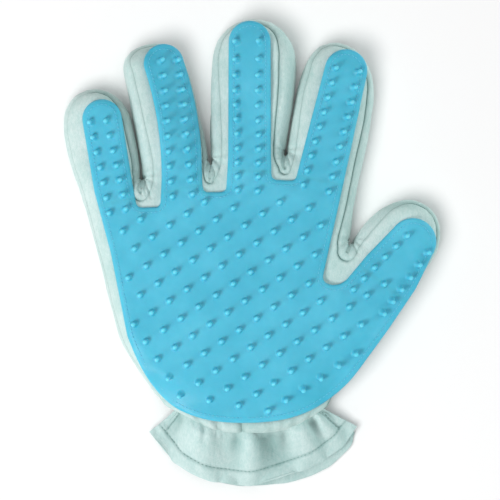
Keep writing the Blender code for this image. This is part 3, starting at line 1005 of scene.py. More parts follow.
def build_pad(material):
    outline = pad_outline()
    inward = right_of(np.concatenate([outline[-1:], outline, outline[:1]]))[1:-1]
    ends = pad_ends(outline)
    regions = finger_regions(outline, ends)
    nubs = nub_places(outline)
    closed = np.concatenate([outline, outline[:1]])
    plan = Plan()
    plan.add(outline, line=True, closed=True)
    rings = [outline]
    for reach in PAD_RINGS:
        rings.append(outline + inward * reach)
        plan.add(rings[-1])
    for first, last in ends.values():
        rings.append(split_line(outline[first], outline[last], 1.5))
        plan.add(rings[-1], line=True)
    circles = []
    turns = np.arange(NUB_SIDES) * 2 * math.pi / NUB_SIDES
    circle = np.stack([np.cos(turns), np.sin(turns)], axis=1)
    for centre in nubs:
        circles.append(plan.add(centre + NUB_FOOT * circle, line=True, closed=True))
        rings.append(centre + (NUB_FOOT + 0.5) * circle)
        plan.add(rings[-1][inside(rings[-1], outline)])
        rings.append(centre[None])
    fill = hex_grid(outline, PAD_GRID)
    plan.add(clear_of(fill[inside(fill, outline)], np.concatenate(rings), 1.5))
    flat, faces, place = plan.solve(outline)
    centres = flat[faces].mean(1)
    open_to_nub = nearest_distances(centres, nubs) < NUB_OPENING
    faces, centres = faces[~open_to_nub], centres[~open_to_nub]
    edge_gap, _ = nearest_segment(flat, closed)
    points = np.column_stack([flat, pad_top(flat, edge_gap)])
    owners = sort_to_bodies(centres, regions)
    nub_owners = sort_to_bodies(nubs, regions)
    for body in BODIES:
        mine = [tuple(face) for face in faces[owners == body]]
        solid, painted_light = points, np.zeros(len(points))
        for number in np.nonzero(nub_owners == body)[0]:
            ring = place[circles[number]:circles[number] + NUB_SIDES]
            solid, mine, painted_light = add_nub(solid, mine, painted_light, ring)
        solid, mine, painted_light = close_pad(solid, np.array(mine), painted_light)
        node = "palm_pad" if body == "palm" else f"{body}_pad"
        make_piece(
            f"{body}_silicone_pad", body_of(body), solid, mine, material, [node], painted_light,
        )
    pad_stitches(outline, inward, regions)


def close_pad(points, faces, painted_light):
    """A pad's top closed by its walls and its underside."""
    loop = ordered_loop(faces)
    rim = points[loop][:, :2]
    plan = Plan()
    plan.add(rim, line=True, closed=True)
    fill = hex_grid(rim, UNDER_GRID)
    plan.add(clear_of(fill[inside(fill, rim)], rim, 2.0))
    flat, under, place = plan.solve(rim)
    lower = np.column_stack([flat, pad_base(flat)])
    used, index = np.unique(faces, return_inverse=True)
    faces = index.reshape(-1, 3)
    count = len(used)
    position = {int(old): new for new, old in enumerate(used)}
    top_rim = [position[int(i)] for i in loop]
    low_rim = [int(place[k]) + count for k in range(len(loop))]
    walls = []
    for k in range(len(loop)):
        n = (k + 1) % len(loop)
        walls += [(top_rim[n], top_rim[k], low_rim[k]), (top_rim[n], low_rim[k], low_rim[n])]
    solid = np.concatenate([points[used], lower])
    painted_light_values = np.concatenate([painted_light[used], np.zeros(len(lower))])
    return solid, [*faces, *(under[:, ::-1] + count), *walls], painted_light_values


# A stitch's points: how far along it, in its lengths, and how high and how thick, in its thread's radius.
STITCH_SHAPE = np.array([(-0.5, -0.6, 0.6), (-0.36, 0.45, 1), (0, 0.8, 1), (0.36, 0.45, 1), (0.5, -0.6, 0.6)])
STITCH_SIDES = 5


def stitch_row(path, pitch, length, radius, jitter):
    """Short stitches along a path on a surface, each an arched piece of thread."""
    run = run_along(path)
    parts = []
    for k in range(int(run[-1] / pitch)):
        wobble = jitter * noise.noise(Vector((k * 0.7, 1.3, 2.1)))
        line = on_path(path, run, (k + 0.5) * pitch + STITCH_SHAPE[:, 0] * length + wobble)
        line[:, 2] += STITCH_SHAPE[:, 1] * radius
        parts.append(tube(line, radius * STITCH_SHAPE[:, 2], STITCH_SIDES))
    return parts


PAD_STITCH_INSET = 2.6
STITCH_PITCH = 2.0
STITCH_LENGTH = 1.25
STITCH_RADIUS = 0.2
STITCH_JITTER = 0.3


def pad_stitches(outline, inward, regions):
    """The thread that sews the pad down, a little inside its edge."""
    path = even(outline + inward * PAD_STITCH_INSET, 1.0, closed=True)
    path = np.concatenate([path, path[:1]])
    owners = sort_to_bodies(path, regions)
    solid = np.column_stack([path, pad_top(path, np.full(len(path), 5.0))])
    runs = {}
    for body, first, end in owner_runs(owners):
        if end - first > 3:
            parts = stitch_row(solid[first:end], STITCH_PITCH, STITCH_LENGTH, STITCH_RADIUS, STITCH_JITTER)
            runs.setdefault(body, []).extend(parts)
    for body, parts in runs.items():
        points, faces = joined(parts)
        make_piece(
            f"{body}_pad_stitches", body_of(body), points, faces, MATERIALS["pad_thread"],
        )

# ---- the gathered wrist and the cuff ----

NECK_HALF_WIDTH = 35.5
NECK_HALF_HEIGHT = 7.4
ROLL_TAPER = 0.045
ROLL_ROWS = 12
ROLL_PUFF = 1.3
# The roll's tucks: where across it, how deep and how wide.
TUCKS = [
    (-5.5, 3.0, 1.4), (-18.5, 2.6, 1.5), (22, 1.6, 1.7), (9.5, 1.2, 1.5), (-29, 1.4, 1.6), (30, 1.5, 1.6),
    (15.5, 0.9, 1.3),
]
# The whole roll is a little darker, and painted shade lies in its tucks.
ROLL_TONE = 0.16


def build_roll(mouth, material):
    """The plush that rolls over the elastic: a loft from the body's end to a narrow neck, with gathers."""
    around = np.arctan2(
        (mouth[:, 2] - MIDDLE) / WRIST_HALF_HEIGHT, (mouth[:, 0] - WRIST_X) / WRIST_HALF_WIDTH
    )
    outwards = unit_rows(np.column_stack([
        np.cos(around) / WRIST_HALF_WIDTH, 0 * around, np.sin(around) / WRIST_HALF_HEIGHT,
    ]))
    neck_x = WRIST_X + NECK_HALF_WIDTH * np.cos(around)
    neck_z = MIDDLE + NECK_HALF_HEIGHT * np.sin(around)
    neck = np.column_stack([neck_x, wrist_line(neck_x, ROLL_END) + 0.8, neck_z])
    front = mouth[:, 2] > MIDDLE
    tucks = sum(depth * bell(mouth[:, 0] - x, width) * front for x, depth, width in TUCKS)
    rows, painted_light_values = [], []
    for s in np.linspace(0, 1, ROLL_ROWS):
        along = 1 - (1 - s) ** 1.3
        body = mix(mouth, neck, np.array([s ** 2.6, along, s ** 2.6]))
        puff = ROLL_PUFF * math.sin(math.pi * min(1, s * 0.96 + 0.02)) ** 0.7
        flat = np.column_stack([np.cos(around) * 6, np.sin(around) * 6, np.full(len(around), s * 0.8)])
        gather = 0.5 * noise_at(flat, (0.55, 0.55, 1), 2.2) + 0.35 * noise_at(flat, (0.22, 0.22, 1), 9.2)
        swell = puff + gather * math.sin(math.pi * s) ** 0.5 * 0.8 - tucks * s ** 0.5
        ring = body + outwards * swell[:, None]
        taper = ROLL_TAPER * math.sin(math.pi / 2 * min(1, 2.5 * s))
        ring[:, 0] = WRIST_X + (ring[:, 0] - WRIST_X) * (1 - taper)
        rows.append(ring)
        # Each row's painted shade, deeper in the tucks.
        painted_light_values.append(ROLL_TONE + 0.28 * tucks * s ** 0.5)
    # The first row sits a little inside the body's end, so that the roll shows no gap there.
    rows.insert(0, mouth - outwards * 0.5 + (0, 1.5, 0))
    painted_light_values.insert(0, painted_light_values[0])
    points = np.concatenate(rows)
    faces = loft_faces(len(rows), len(mouth))
    normals = vertex_normals(points, faces)
    towards = points - (WRIST_X, 0, MIDDLE)
    if (normals[:, [0, 2]] * towards[:, [0, 2]]).sum() < 0:
        faces, normals = faces[:, ::-1], -normals
    solid, solid_faces, source = shell(points, normals, faces, SHELL)
    roll = make_piece(
        "wrist_plush_roll", "palm", solid, solid_faces, material, ["wrist_casing"],
        np.clip(np.concatenate(painted_light_values), 0, 1)[source],
    )


ELASTIC_COLUMNS = 480
ELASTIC_RIBS = 60
ELASTIC_RIB = 0.22
ELASTIC_START = 1.5
ELASTIC_PROFILE = [(0, 0), (0, 0.7), (0.08, 0.9), (0.5, 0.75), (0.92, 0.9), (1, 0.7), (1, 0), (0.5, 0.1)]
ELASTIC_HALF_WIDTH = 33.2
ELASTIC_HALF_HEIGHT = 5.2
ELASTIC_WIDTH = 5.0


def build_elastic(material):
    """The ribbed elastic band inside the roll."""
    turns = np.linspace(0, 2 * math.pi, ELASTIC_COLUMNS, endpoint=False)
    rib = ELASTIC_RIB * np.cos(turns * ELASTIC_RIBS)
    rows = []
    for y_share, grow in ELASTIC_PROFILE:
        x = WRIST_X + (ELASTIC_HALF_WIDTH + grow + rib) * np.cos(turns)
        z = MIDDLE + (ELASTIC_HALF_HEIGHT + grow + rib) * np.sin(turns)
        y = wrist_line(x, ROLL_END) + ELASTIC_START + ELASTIC_WIDTH * y_share
        rows.append(np.column_stack([x, y, z]))
    faces = loft_faces(len(rows), ELASTIC_COLUMNS, closed=True)[:, ::-1]
    make_piece(
        "wrist_elastic_band", "palm", np.concatenate(rows), faces, material,
        ["wrist_elastic"],
    )


# The hems of the cuff's two halves, from the little finger's side, and their heights at corners and middle.
FRONT_HEM = [(-52, -90), (-46, -97.5), (-39, -104.5), (-30, -110.5), (-19, -114.4), (-6, -116.0), (4, -115.3),
             (13, -113.0), (22, -109.8), (32.7, -105.1), (41.8, -99.5), (46.9, -94.4), (52.2, -87.3)]
BACK_HEM = [(-51, -91), (-45, -98.5), (-38, -105), (-29, -111), (-18, -114.9), (-5, -116.6), (9, -116.0),
            (22, -114.0), (33, -109.7), (40, -105.4), (48.2, -97.3), (51.2, -90.5)]
FRONT_HEM_HEIGHT = (5.8, 10.0)
BACK_HEM_HEIGHT = (1.9, 1.0)
CUFF_COLUMNS = 180
CUFF_ROWS = 34
CUFF_SHELL = 0.8
CUFF_TUCKED = 2.2  # how far the cuff goes up inside the roll
HEM_WIDTH = 6.9
SIDE_HEM_WIDTH = 5.6
# Broad folds across the cuff's front: where between its sides, how high, how wide, and how fast they fade.
FRONT_FOLDS = [
    (0.085, -2.6, 0.035, 0.5), (0.235, 3.4, 0.08, 0.5), (0.37, -1.6, 0.045, 0.8), (0.44, -2.8, 0.026, 0.9),
    (0.495, 4.0, 0.034, 0.6), (0.585, -4.4, 0.048, 0.5), (0.66, -2.0, 0.045, 0.6), (0.755, 3.8, 0.05, 0.6),
    (0.835, -3.6, 0.034, 0.8), (0.9, 2.6, 0.032, 0.8), (0.955, -1.4, 0.022, 1.0),
]
BACK_FOLDS = [(0.2, -0.8, 0.05, 1.0), (0.42, 0.6, 0.06, 1.0), (0.62, -0.8, 0.05, 1.0), (0.8, 0.8, 0.05, 1.0)]

# The simulation runs at this many units per millimetre, and moves nothing further than CUFF_MOST_MOVE.
SIM_SCALE = 0.1
SIM_FRAMES = 26
CUFF_MOST_MOVE = 3.0
BACK_MOVE_SHARE = 0.35  # the back half lies on the floor, so it moves less up and down
FRONT_GRAVITY = 0.1
HELD_ROWS = 3
HEM_HOLD = 0.25
LEAST_HOLD = 0.02


def cloth_settings(cloth):
    """Soft brushed cloth that has more of itself than its place, so that it buckles."""
    cloth.quality = 6
    cloth.mass = 0.25
    cloth.tension_stiffness = 12
    cloth.compression_stiffness = 12
    cloth.shear_stiffness = 5
    cloth.bending_stiffness = 6.0
    cloth.air_damping = 2.5
    cloth.shrink_min = -0.035
    cloth.shrink_max = -0.035
    cloth.vertex_group_mass = "held"
    cloth.pin_stiffness = 1.0


def hold(row, at_side, count):
    """How firmly a point of the cuff's cloth is held, from 0 to 1."""
    if row < HELD_ROWS or (at_side and row >= count - HELD_ROWS):
        return 1.0
    if row == count - 1 or at_side:
        return HEM_HOLD
    return min(1.0, max(1.0 - 3.0 * row / count, 0.0) ** 2 + LEAST_HOLD)


def settled(rows, side):
    """The cuff's rows after a cloth simulation, held at the roll, the corners and partly the hem."""
    count, columns = rows.shape[:2]
    mesh = bpy.data.meshes.new("cuff_cloth")
    points = rows.reshape(-1, 3) * SIM_SCALE
    mesh.from_pydata(points.tolist(), [], grid_quads(count, columns).tolist())
    obj = bpy.data.objects.new("cuff_cloth", mesh)
    bpy.context.collection.objects.link(obj)
    group = obj.vertex_groups.new(name="held")
    for r in range(count):
        for c in range(columns):
            group.add([r * columns + c], hold(r, min(c, columns - 1 - c) < HELD_ROWS, count), "REPLACE")
    modifier = obj.modifiers.new("cloth", "CLOTH")
    cloth_settings(modifier.settings)
    modifier.settings.effector_weights.gravity = FRONT_GRAVITY if side > 0 else 0.0
    modifier.point_cache.frame_start = 1
    modifier.point_cache.frame_end = SIM_FRAMES
    scene = bpy.context.scene
    for frame_number in range(1, SIM_FRAMES + 1):
        scene.frame_set(frame_number)
    evaluated = obj.evaluated_get(bpy.context.evaluated_depsgraph_get())
    moved = np.empty(len(points) * 3)
    evaluated.data.vertices.foreach_get("co", moved)
    scene.frame_set(1)
    bpy.data.objects.remove(obj)
    bpy.data.meshes.remove(mesh)
    move = moved.reshape(rows.shape) / SIM_SCALE - rows
    far = np.linalg.norm(move, axis=2, keepdims=True)
    move *= np.minimum(1, CUFF_MOST_MOVE / np.maximum(far, 1e-9))
    if side < 0:
        move[:, :, 2] *= BACK_MOVE_SHARE
    return rows + move


GATHERS = 13
# Painted shade on the cuff: a little all over, less on the folds' ridges and more in their hollows.
CUFF_PAINTED_SHADE = 0.2
HOLLOW_PAINTED_SHADE = 0.28
CUFF_TURNS = (174, 6)  # degrees round the neck at the cuff's two sides


def cuff_points(hem, heights, side, folds):
    """Half of the cuff as rows of points from inside the roll to its hem, their distance from the hem, and
    the painted shade of its folds.
    """
    s = np.linspace(0, 1, CUFF_COLUMNS)
    turn = np.radians(mix(*CUFF_TURNS, s))
    x = WRIST_X + NECK_HALF_WIDTH * np.cos(turn)
    top = np.column_stack([
        x, wrist_line(x, ROLL_END) + CUFF_TUCKED, MIDDLE + side * (NECK_HALF_HEIGHT - 0.9) * np.sin(turn),
    ])
    edge = even(curve(hem, 1.0), 0.2)
    edge = edge[np.round(s * (len(edge) - 1)).astype(int)]
    edge = np.column_stack([edge, heights[0] + (heights[1] - heights[0]) * np.sin(math.pi * s)])
    length = np.linalg.norm(edge - top, axis=1)
    rows, from_hem, fold_painted_shade = [], [], []
    for r in np.linspace(0, 1, CUFF_ROWS):
        row = mix(top, edge, r)
        row[:, 2] += side * 0.9 * math.sin(math.pi * r) * np.sin(math.pi * s)
        fade = 1 - r
        lift = sum(
            height * bell(s - at, width * (1 + 0.6 * r)) * fade ** power for at, height, width, power in folds
        ) * min(1, 5 * r + 0.1)
        # Painted shade: darker in the hollows, lighter on the ridges.
        shade = np.where(lift > 0, CUFF_PAINTED_SHADE / 2.4, HOLLOW_PAINTED_SHADE)
        fold_painted_shade.append(np.clip(CUFF_PAINTED_SHADE - lift * shade * fade ** 0.4, 0, 1))
        phase = 2 * math.pi * (GATHERS * s + 0.35 * np.sin(9 * s) + 0.2 * np.sin(23 * s))
        lift += (0.45 + 0.3 * np.sin(31 * s)) * np.sin(phase) * fade ** 2.2 * min(1, 6 * r + 0.1)
        spread = np.column_stack([s * 26, np.full(len(s), r * 5), np.full(len(s), 4.4 * side)])
        lift += (0.25 + 0.25 * r) * noise_at(spread, (4.5, 3, 1), 1.1)
        lift += 0.22 * noise_at(spread, (1.3, 1.6, 1), 6.3)
        row[:, 2] += side * lift if side > 0 else 0.4 * lift
        rows.append(row)
        from_hem.append((1 - r) * length)
    return np.array(rows), np.array(from_hem), np.array(fold_painted_shade), s


def grid_quads(rows, columns):
    r, c = np.meshgrid(np.arange(rows - 1), np.arange(columns - 1), indexing="ij")
    a = (r * columns + c).ravel()
    return np.stack([a, a + 1, a + columns + 1, a + columns], axis=1)


def grid_faces(rows, columns):
    quads = grid_quads(rows, columns)
    return np.concatenate([quads[:, [0, 1, 2]], quads[:, [0, 2, 3]]])


HEM_RISE = 0.45
HEM_GROOVE = 0.5
HEM_PUCKER = 0.16
# Painted shade in the hem's groove.
HEM_GROOVE_PAINTED_SHADE = 0.55
HEM_PITCH = 2.1
HEM_STITCH = 1.05
HEM_THREAD = 0.165
HEM_JITTER = 0.5
STITCH_LIFT = 0.1


def build_cuff_half(name, hem, heights, side, folds, material, node):
    rows, from_hem, fold_painted_shade, s = cuff_points(hem, heights, side, folds)
    rows = settled(rows, side)
    side_gap = np.minimum(s, 1 - s) * 105 * mix(0.75, 1.2, np.linspace(0, 1, CUFF_ROWS))[:, None]
    points = rows.reshape(-1, 3)
    faces = grid_faces(CUFF_ROWS, CUFF_COLUMNS)
    normals = vertex_normals(points, faces)
    if normals[:, 2].sum() * side < 0:
        faces, normals = faces[:, ::-1], -normals
    hem_gap, edge_gap = from_hem.ravel() - HEM_WIDTH, side_gap.ravel() - SIDE_HEM_WIDTH
    doubled = np.maximum(smooth(hem_gap, 0.5, -0.5), smooth(edge_gap, 0.5, -0.5))
    groove = bell(hem_gap, 0.55) + bell(edge_gap, 0.5) * (hem_gap > 0)
    pucker = noise_at(np.column_stack([points[:, :2], points[:, 2] * 0]), (2.0, 2.0, 2.0), 8.8)
    pucker *= HEM_PUCKER * (bell(hem_gap, 2.5) + bell(edge_gap, 2.5))
    raised = points + normals * (HEM_RISE * doubled - HEM_GROOVE * groove + pucker)[:, None]
    normals = vertex_normals(raised, faces)
    solid, solid_faces, source = shell(raised, normals, faces, CUFF_SHELL)
    # The cuff's painted shade: in the hem's groove and in the folds' hollows.
    cuff = make_piece(
        name, "palm", solid, solid_faces, material, [node],
        (HEM_GROOVE_PAINTED_SHADE * groove + fold_painted_shade.ravel())[source],
    )
    stitches = []
    surface = raised.reshape(CUFF_ROWS, CUFF_COLUMNS, 3)
    lines = [hem_line(surface, from_hem, side)]
    lines += [surface[:, c] for c in side_columns(side_gap)]
    lines[1:] = [line[from_hem[:, 0] > HEM_WIDTH] + (0, 0, side * STITCH_LIFT) for line in lines[1:]]
    for line in lines:
        stitches += stitch_row(even(line, 0.4), HEM_PITCH, HEM_STITCH, HEM_THREAD * side, HEM_JITTER)
    thread_points, thread_faces = joined(stitches)
    thread = make_piece(
        name + "_stitches", "palm", thread_points, thread_faces, MATERIALS["hem_thread"],
    )


def hem_line(surface, from_hem, side):
    """The hem's stitch line on the cuff's surface."""
    line = []
    for c in range(2, surface.shape[1] - 2):
        order = np.argsort(from_hem[:, c])
        line.append([np.interp(HEM_WIDTH, from_hem[order, c], surface[order, c, i]) for i in range(3)])
    return np.array(line) + (0, 0, side * STITCH_LIFT)


def side_columns(side_gap):
    """The two columns of the cuff's points that lie nearest its side hems' stitch lines."""
    middle = side_gap[CUFF_ROWS // 2]
    half = len(middle) // 2
    off = abs(middle - SIDE_HEM_WIDTH)
    return [int(off[:half].argmin()), half + int(off[half:].argmin())]

# ---- materials ----

WHITE = (1, 1, 1)
THREAD_TWIST = 900.0


def new_material(name, roughness, **constants):
    """A material with its Principled shader's constant sockets set, and its node tree."""
    made = bpy.data.materials.new(name)
    made.use_nodes = True
    shader = made.node_tree.nodes["Principled BSDF"]
    shader.inputs["Roughness"].default_value = roughness
    for key, value in constants.items():
        shader.inputs[key.replace("_", " ")].default_value = value
    return made, made.node_tree, shader


def add_node(tree, kind, inputs=(), **settings):
    made = tree.nodes.new("ShaderNode" + kind)
    for key, value in settings.items():
        setattr(made, key, value)
    for key, value in dict(inputs).items():
        if isinstance(value, bpy.types.NodeSocket):
            tree.links.new(value, made.inputs[key])
        else:
            made.inputs[key].default_value = value
    return made


def place_scaled(tree, scale):
    where = add_node(tree, "TexCoord").outputs["Object"]
    return add_node(tree, "Mapping", {"Vector": where, "Scale": scale}).outputs["Vector"]


def noise_node(tree, scale, detail=4.0, roughness=0.6, distortion=0.0):
    inputs = {
        "Vector": place_scaled(tree, scale), "Scale": 1.0, "Detail": detail, "Roughness": roughness,
        "Distortion": distortion,
    }
    return add_node(tree, "TexNoise", inputs).outputs["Fac"]


def band_node(tree, scale, **inputs):
    """Fine diagonal bands, as of knitting or twisted thread."""
    inputs = {key.replace("_", " "): value for key, value in inputs.items()}
    inputs.update({"Vector": place_scaled(tree, (1, 1, 1)), "Scale": scale})
    made = add_node(tree, "TexWave", inputs, wave_type="BANDS", bands_direction="DIAGONAL")
    return made.outputs["Fac"]


def mapped(tree, value, **ends):
    """A value from 0 to 1 put onto another range."""
    inputs = {key.replace("_", " "): end for key, end in ends.items()}
    return add_node(tree, "MapRange", {"Value": value, **inputs}).outputs["Result"]


def vary_roughness(tree, shader, value, low, high):
    tree.links.new(mapped(tree, value, To_Min=low, To_Max=high), shader.inputs["Roughness"])


# The attribute of painted light that each piece carries.
def painted_light_of(tree):
    return add_node(tree, "Attribute", attribute_name="painted_light").outputs["Fac"]


def ramp(tree, value, stops):
    made = add_node(tree, "ValToRGB", {"Fac": value})
    elements = made.color_ramp.elements
    while len(elements) < len(stops):
        elements.new(0.5)
    for element, (at, colour) in zip(elements, stops):
        element.position = at
        element.color = (*colour, 1)
    return made.outputs["Color"]


def blend_colours(tree, share, a, b, kind="MIX"):
    made = add_node(tree, "Mix", data_type="RGBA", blend_type=kind)
    for number, value in ((0, share), (6, a), (7, b)):
        if isinstance(value, bpy.types.NodeSocket):
            tree.links.new(value, made.inputs[number])
        else:
            made.inputs[number].default_value = value if number == 0 else (*value, 1)
    return made.outputs[2]


def calculate(tree, operation, a, b):
    return add_node(tree, "Math", {0: a, 1: b}, operation=operation).outputs[0]


def flecked(tree, share, colour, value, dark, low, high):
    """A colour that is a little darker where the value is low."""
    return blend_colours(tree, share, colour, ramp(tree, value, [(low, dark), (high, WHITE)]), "MULTIPLY")


def bump_chain(tree, shader, layers):
    """Bumps one on another: (height, strength, distance in metres)."""
    normal = None
    for height, strength, distance in layers:
        inputs = {"Height": height, "Strength": strength, "Distance": distance}
        if normal:
            inputs["Normal"] = normal
        normal = add_node(tree, "Bump", inputs).outputs["Normal"]
    tree.links.new(normal, shader.inputs["Normal"])


# The colour that painted shade darkens the plush towards.
PAINTED_SHADE_COLOUR = (0.10, 0.235, 0.22)


def plush_material(name, deep, middle, bright):
    made, tree, shader = new_material(
        name, 0.95, Sheen_Weight=0.55, Sheen_Roughness=0.45, Sheen_Tint=(0.88, 1.0, 0.97, 1),
        Specular_IOR_Level=0.2,
    )
    nap = noise_node(tree, (900, 420, 900), detail=5, roughness=0.7, distortion=0.3)
    fibres = noise_node(tree, (2600, 1500, 2600), detail=3, roughness=0.6)
    clouds = noise_node(tree, (60, 60, 60), detail=3)
    knit = band_node(tree, 420.0, Distortion=2.5, Detail=2.0, Detail_Scale=3.0)
    shares = (calculate(tree, "MULTIPLY", nap, 0.6), calculate(tree, "MULTIPLY", clouds, 0.4))
    mixed = calculate(tree, "ADD", *shares)
    colour = ramp(tree, mixed, [(0.28, deep), (0.5, middle), (0.72, bright)])
    colour = flecked(tree, 0.6, colour, fibres, (0.86, 0.90, 0.89), 0.35, 0.62)
    # Painted shade from the attribute, in creases, slits, tucks, folds and hem grooves.
    painted_shade_share = calculate(tree, "MULTIPLY", painted_light_of(tree), 0.6)
    colour = blend_colours(tree, painted_shade_share, colour, PAINTED_SHADE_COLOUR)
    tree.links.new(colour, shader.inputs["Base Color"])
    vary_roughness(tree, shader, nap, 0.86, 1.0)
    bump_chain(tree, shader, [(nap, 0.5, 0.0005), (fibres, 0.45, 0.0002), (knit, 0.18, 0.00015)])
    return made


PAD_DEEP = (0.066, 0.455, 0.620)
PAD_COLOUR = (0.084, 0.498, 0.670)
PAD_LIGHT = (0.106, 0.540, 0.715)
# The paler blue of a painted highlight on the nubs' tips.
PAD_TIP_PAINTED_HIGHLIGHT = (0.170, 0.700, 0.870)


def silicone_material():
    made, tree, shader = new_material(
        "blue_silicone", 0.45, Subsurface_Weight=0.35, Subsurface_Scale=0.0028, Specular_IOR_Level=0.28,
        Subsurface_Radius=(0.06, 0.7, 1.0),
    )
    clouds = noise_node(tree, (45, 45, 45), detail=3)
    grain = noise_node(tree, (1500, 1500, 1500), detail=4, roughness=0.7)
    mottle = noise_node(tree, (320, 320, 320), detail=2)
    colour = ramp(tree, clouds, [(0.3, PAD_DEEP), (0.55, PAD_COLOUR), (0.75, PAD_LIGHT)])
    colour = flecked(tree, 0.35, colour, mottle, (0.9, 0.95, 0.96), 0.3, 0.6)
    # Nubs paler towards their tips: a painted highlight.
    tip_highlight = mapped(tree, painted_light_of(tree), From_Min=0.5, From_Max=1.0, To_Max=0.75)
    tree.links.new(blend_colours(tree, tip_highlight, colour, PAD_TIP_PAINTED_HIGHLIGHT), shader.inputs["Base Color"])
    vary_roughness(tree, shader, mottle, 0.36, 0.5)
    bump_chain(tree, shader, [(mottle, 0.10, 0.0004), (grain, 0.14, 0.00012)])
    return made


def thread_material(name, dark, light, pale=None):
    """Sewing thread with its twist. If a pale colour is given, the thread is pale where it gets no painted
    shade and darkens with the painted shade of its seam.
    """
    made, tree, shader = new_material(name, 0.7, Sheen_Weight=0.15, Specular_IOR_Level=0.3)
    strands = band_node(tree, THREAD_TWIST, Distortion=1.0, Detail=1.0)
    colour = ramp(tree, strands, [(0.2, dark), (0.8, light)])
    if pale:
        colour = blend_colours(tree, painted_light_of(tree), pale, colour)
    tree.links.new(colour, shader.inputs["Base Color"])
    vary_roughness(tree, shader, noise_node(tree, (3000, 3000, 3000), detail=2), 0.6, 0.85)
    bump_chain(tree, shader, [(strands, 0.5, 0.0001)])
    return made


def elastic_material():
    made, tree, shader = new_material("white_elastic", 0.8, Sheen_Weight=0.2, Specular_IOR_Level=0.3)
    where = place_scaled(tree, (1400, 900, 1400))
    weave = add_node(tree, "TexVoronoi", {"Vector": where, "Scale": 1.0}).outputs["Distance"]
    clouds = noise_node(tree, (90, 90, 90))
    colour = ramp(tree, weave, [(0.1, (0.82, 0.84, 0.82)), (0.6, (0.60, 0.64, 0.62))])
    colour = flecked(tree, 0.3, colour, clouds, (0.9, 0.93, 0.92), 0.3, 0.7)
    tree.links.new(colour, shader.inputs["Base Color"])
    vary_roughness(tree, shader, clouds, 0.7, 0.9)
    bump_chain(tree, shader, [(weave, 0.5, 0.0003)])
    return made


MATERIALS = {}


def build_materials():
    MATERIALS["plush"] = plush_material(
        "mint_plush", (0.405, 0.610, 0.585), (0.555, 0.705, 0.685), (0.710, 0.805, 0.795),
    )
    # The cuff's copy of the plush, its deep and middle colours a little darker, as painted shade.
    MATERIALS["cuff"] = plush_material(
        "cuff_plush_shaded", (0.390, 0.600, 0.585), (0.540, 0.700, 0.685), (0.700, 0.810, 0.800),
    )
    MATERIALS["silicone"] = silicone_material()
    MATERIALS["seam"] = thread_material(
        "seam_thread", (0.045, 0.120, 0.115), (0.110, 0.230, 0.215), (0.46, 0.61, 0.585),
    )
    MATERIALS["hem_thread"] = thread_material("hem_thread", (0.170, 0.310, 0.290), (0.300, 0.470, 0.440))
    MATERIALS["pad_thread"] = thread_material("pad_thread", (0.090, 0.480, 0.660), (0.200, 0.680, 0.860))
    MATERIALS["elastic"] = elastic_material()

# ---- the studio ----

# The studio is in metres.
FLOOR_GLOW = 0.03
FLOOR = 2.0
FLOOR_Z = -0.0004


def build_floor():
    mesh = bpy.data.meshes.new("studio_floor")
    corners = [(-1, -1), (1, -1), (1, 1), (-1, 1)]
    mesh.from_pydata([(x * FLOOR, y * FLOOR, FLOOR_Z) for x, y in corners], [], [(0, 1, 2, 3)])
    floor = bpy.data.objects.new("studio_floor", mesh)
    bpy.context.collection.objects.link(floor)
    made, tree, shader = new_material("floor_white", 0.9, Specular_IOR_Level=0.1)
    soft = noise_node(tree, (3, 3, 3), detail=1)
    shade = ramp(tree, soft, [(0.3, (0.90, 0.90, 0.90)), (0.7, (0.915, 0.915, 0.915))])
    tree.links.new(shade, shader.inputs["Base Color"])
    shader.inputs["Emission Color"].default_value = (1, 1, 1, 1)
    shader.inputs["Emission Strength"].default_value = FLOOR_GLOW
    mesh.materials.append(made)
    return floor


def add_light(name, place, size, power, colour):
    """A round light that shines at the middle of the glove."""
    light = bpy.data.lights.new(name, "AREA")
    light.shape = "DISK"
    light.size = size
    light.energy = power
    light.color = colour
    obj = bpy.data.objects.new(name, light)
    obj.location = place
    obj.rotation_euler = (-Vector(place)).to_track_quat("-Z", "Y").to_euler()
    bpy.context.collection.objects.link(obj)
    return obj


def link_floor(light, floor, state):
    """EXCLUDE leaves the floor out, so no hard shadow falls on it. INCLUDE lights only the floor."""
    receivers = bpy.data.collections.new("receivers_of_" + light.name)
    receivers.objects.link(floor)
    light.light_linking.receiver_collection = receivers
    receivers.collection_objects[0].light_linking.link_state = state


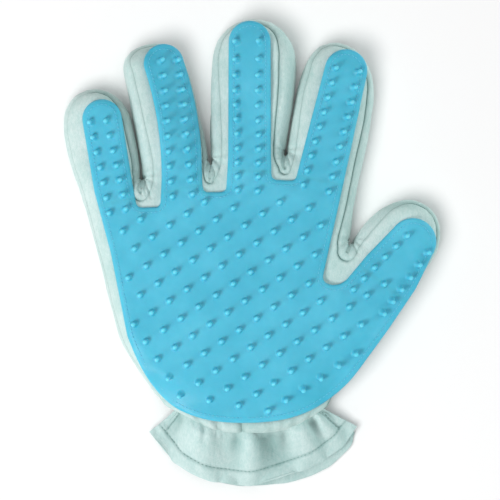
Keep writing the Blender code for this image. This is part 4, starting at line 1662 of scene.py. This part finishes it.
# Each light's place, size, power and colour, and what it does with the floor.
LIGHTS = {
    "key": ((-0.75, -0.607, 0.81), 0.46, 11.3, WHITE, "EXCLUDE"),
    "fill": ((1.0, 0.35, 0.33), 0.6, 4.6, (0.78, 1.0, 0.98), "EXCLUDE"),
    "wash": ((-0.35, -0.3, 1.3), 0.7, 11.4, WHITE, "INCLUDE"),
    "overhead": ((0.1, 0.25, 1.9), 1.2, 5.2, WHITE, None),
}
WORLD_STRENGTH = 0.42
SENSOR = 36
FRAME_WIDTH = 0.25
CAMERA_DISTANCE = 2.4
CAMERA_LEVEL = 0.018
CAMERA_X = -0.0015
CAMERA_Y = 0.00125


def build_studio():
    floor = build_floor()
    for name, (place, size, power, colour, state) in LIGHTS.items():
        light = add_light(name, place, size, power, colour)
        if state:
            link_floor(light, floor, state)
    world = bpy.data.worlds.new("studio")
    world.use_nodes = True
    background = world.node_tree.nodes["Background"]
    background.inputs["Color"].default_value = (1, 1, 1, 1)
    background.inputs["Strength"].default_value = WORLD_STRENGTH
    bpy.context.scene.world = world
    bpy.context.scene.view_settings.view_transform = "Standard"
    camera = bpy.data.cameras.new("camera")
    camera.sensor_width = SENSOR
    camera.lens = SENSOR * CAMERA_DISTANCE / FRAME_WIDTH
    camera.clip_start = 0.01
    obj = bpy.data.objects.new("camera", camera)
    obj.location = (CAMERA_X, CAMERA_Y, CAMERA_DISTANCE + CAMERA_LEVEL)
    bpy.context.collection.objects.link(obj)
    bpy.context.scene.camera = obj


LONG_OUTLINE, *STATION_COLUMNS = stations()

build_materials()
wrist_mouth = build_plush(MATERIALS["plush"])
build_pad(MATERIALS["silicone"])
build_roll(wrist_mouth, MATERIALS["plush"])
build_elastic(MATERIALS["elastic"])
build_cuff_half(
    "cuff_front", FRONT_HEM, FRONT_HEM_HEIGHT, 1, FRONT_FOLDS, MATERIALS["cuff"], "cuff_front_flap",
)
build_cuff_half("cuff_back", BACK_HEM, BACK_HEM_HEIGHT, -1, BACK_FOLDS, MATERIALS["cuff"], "cuff_back_flap")
build_studio()
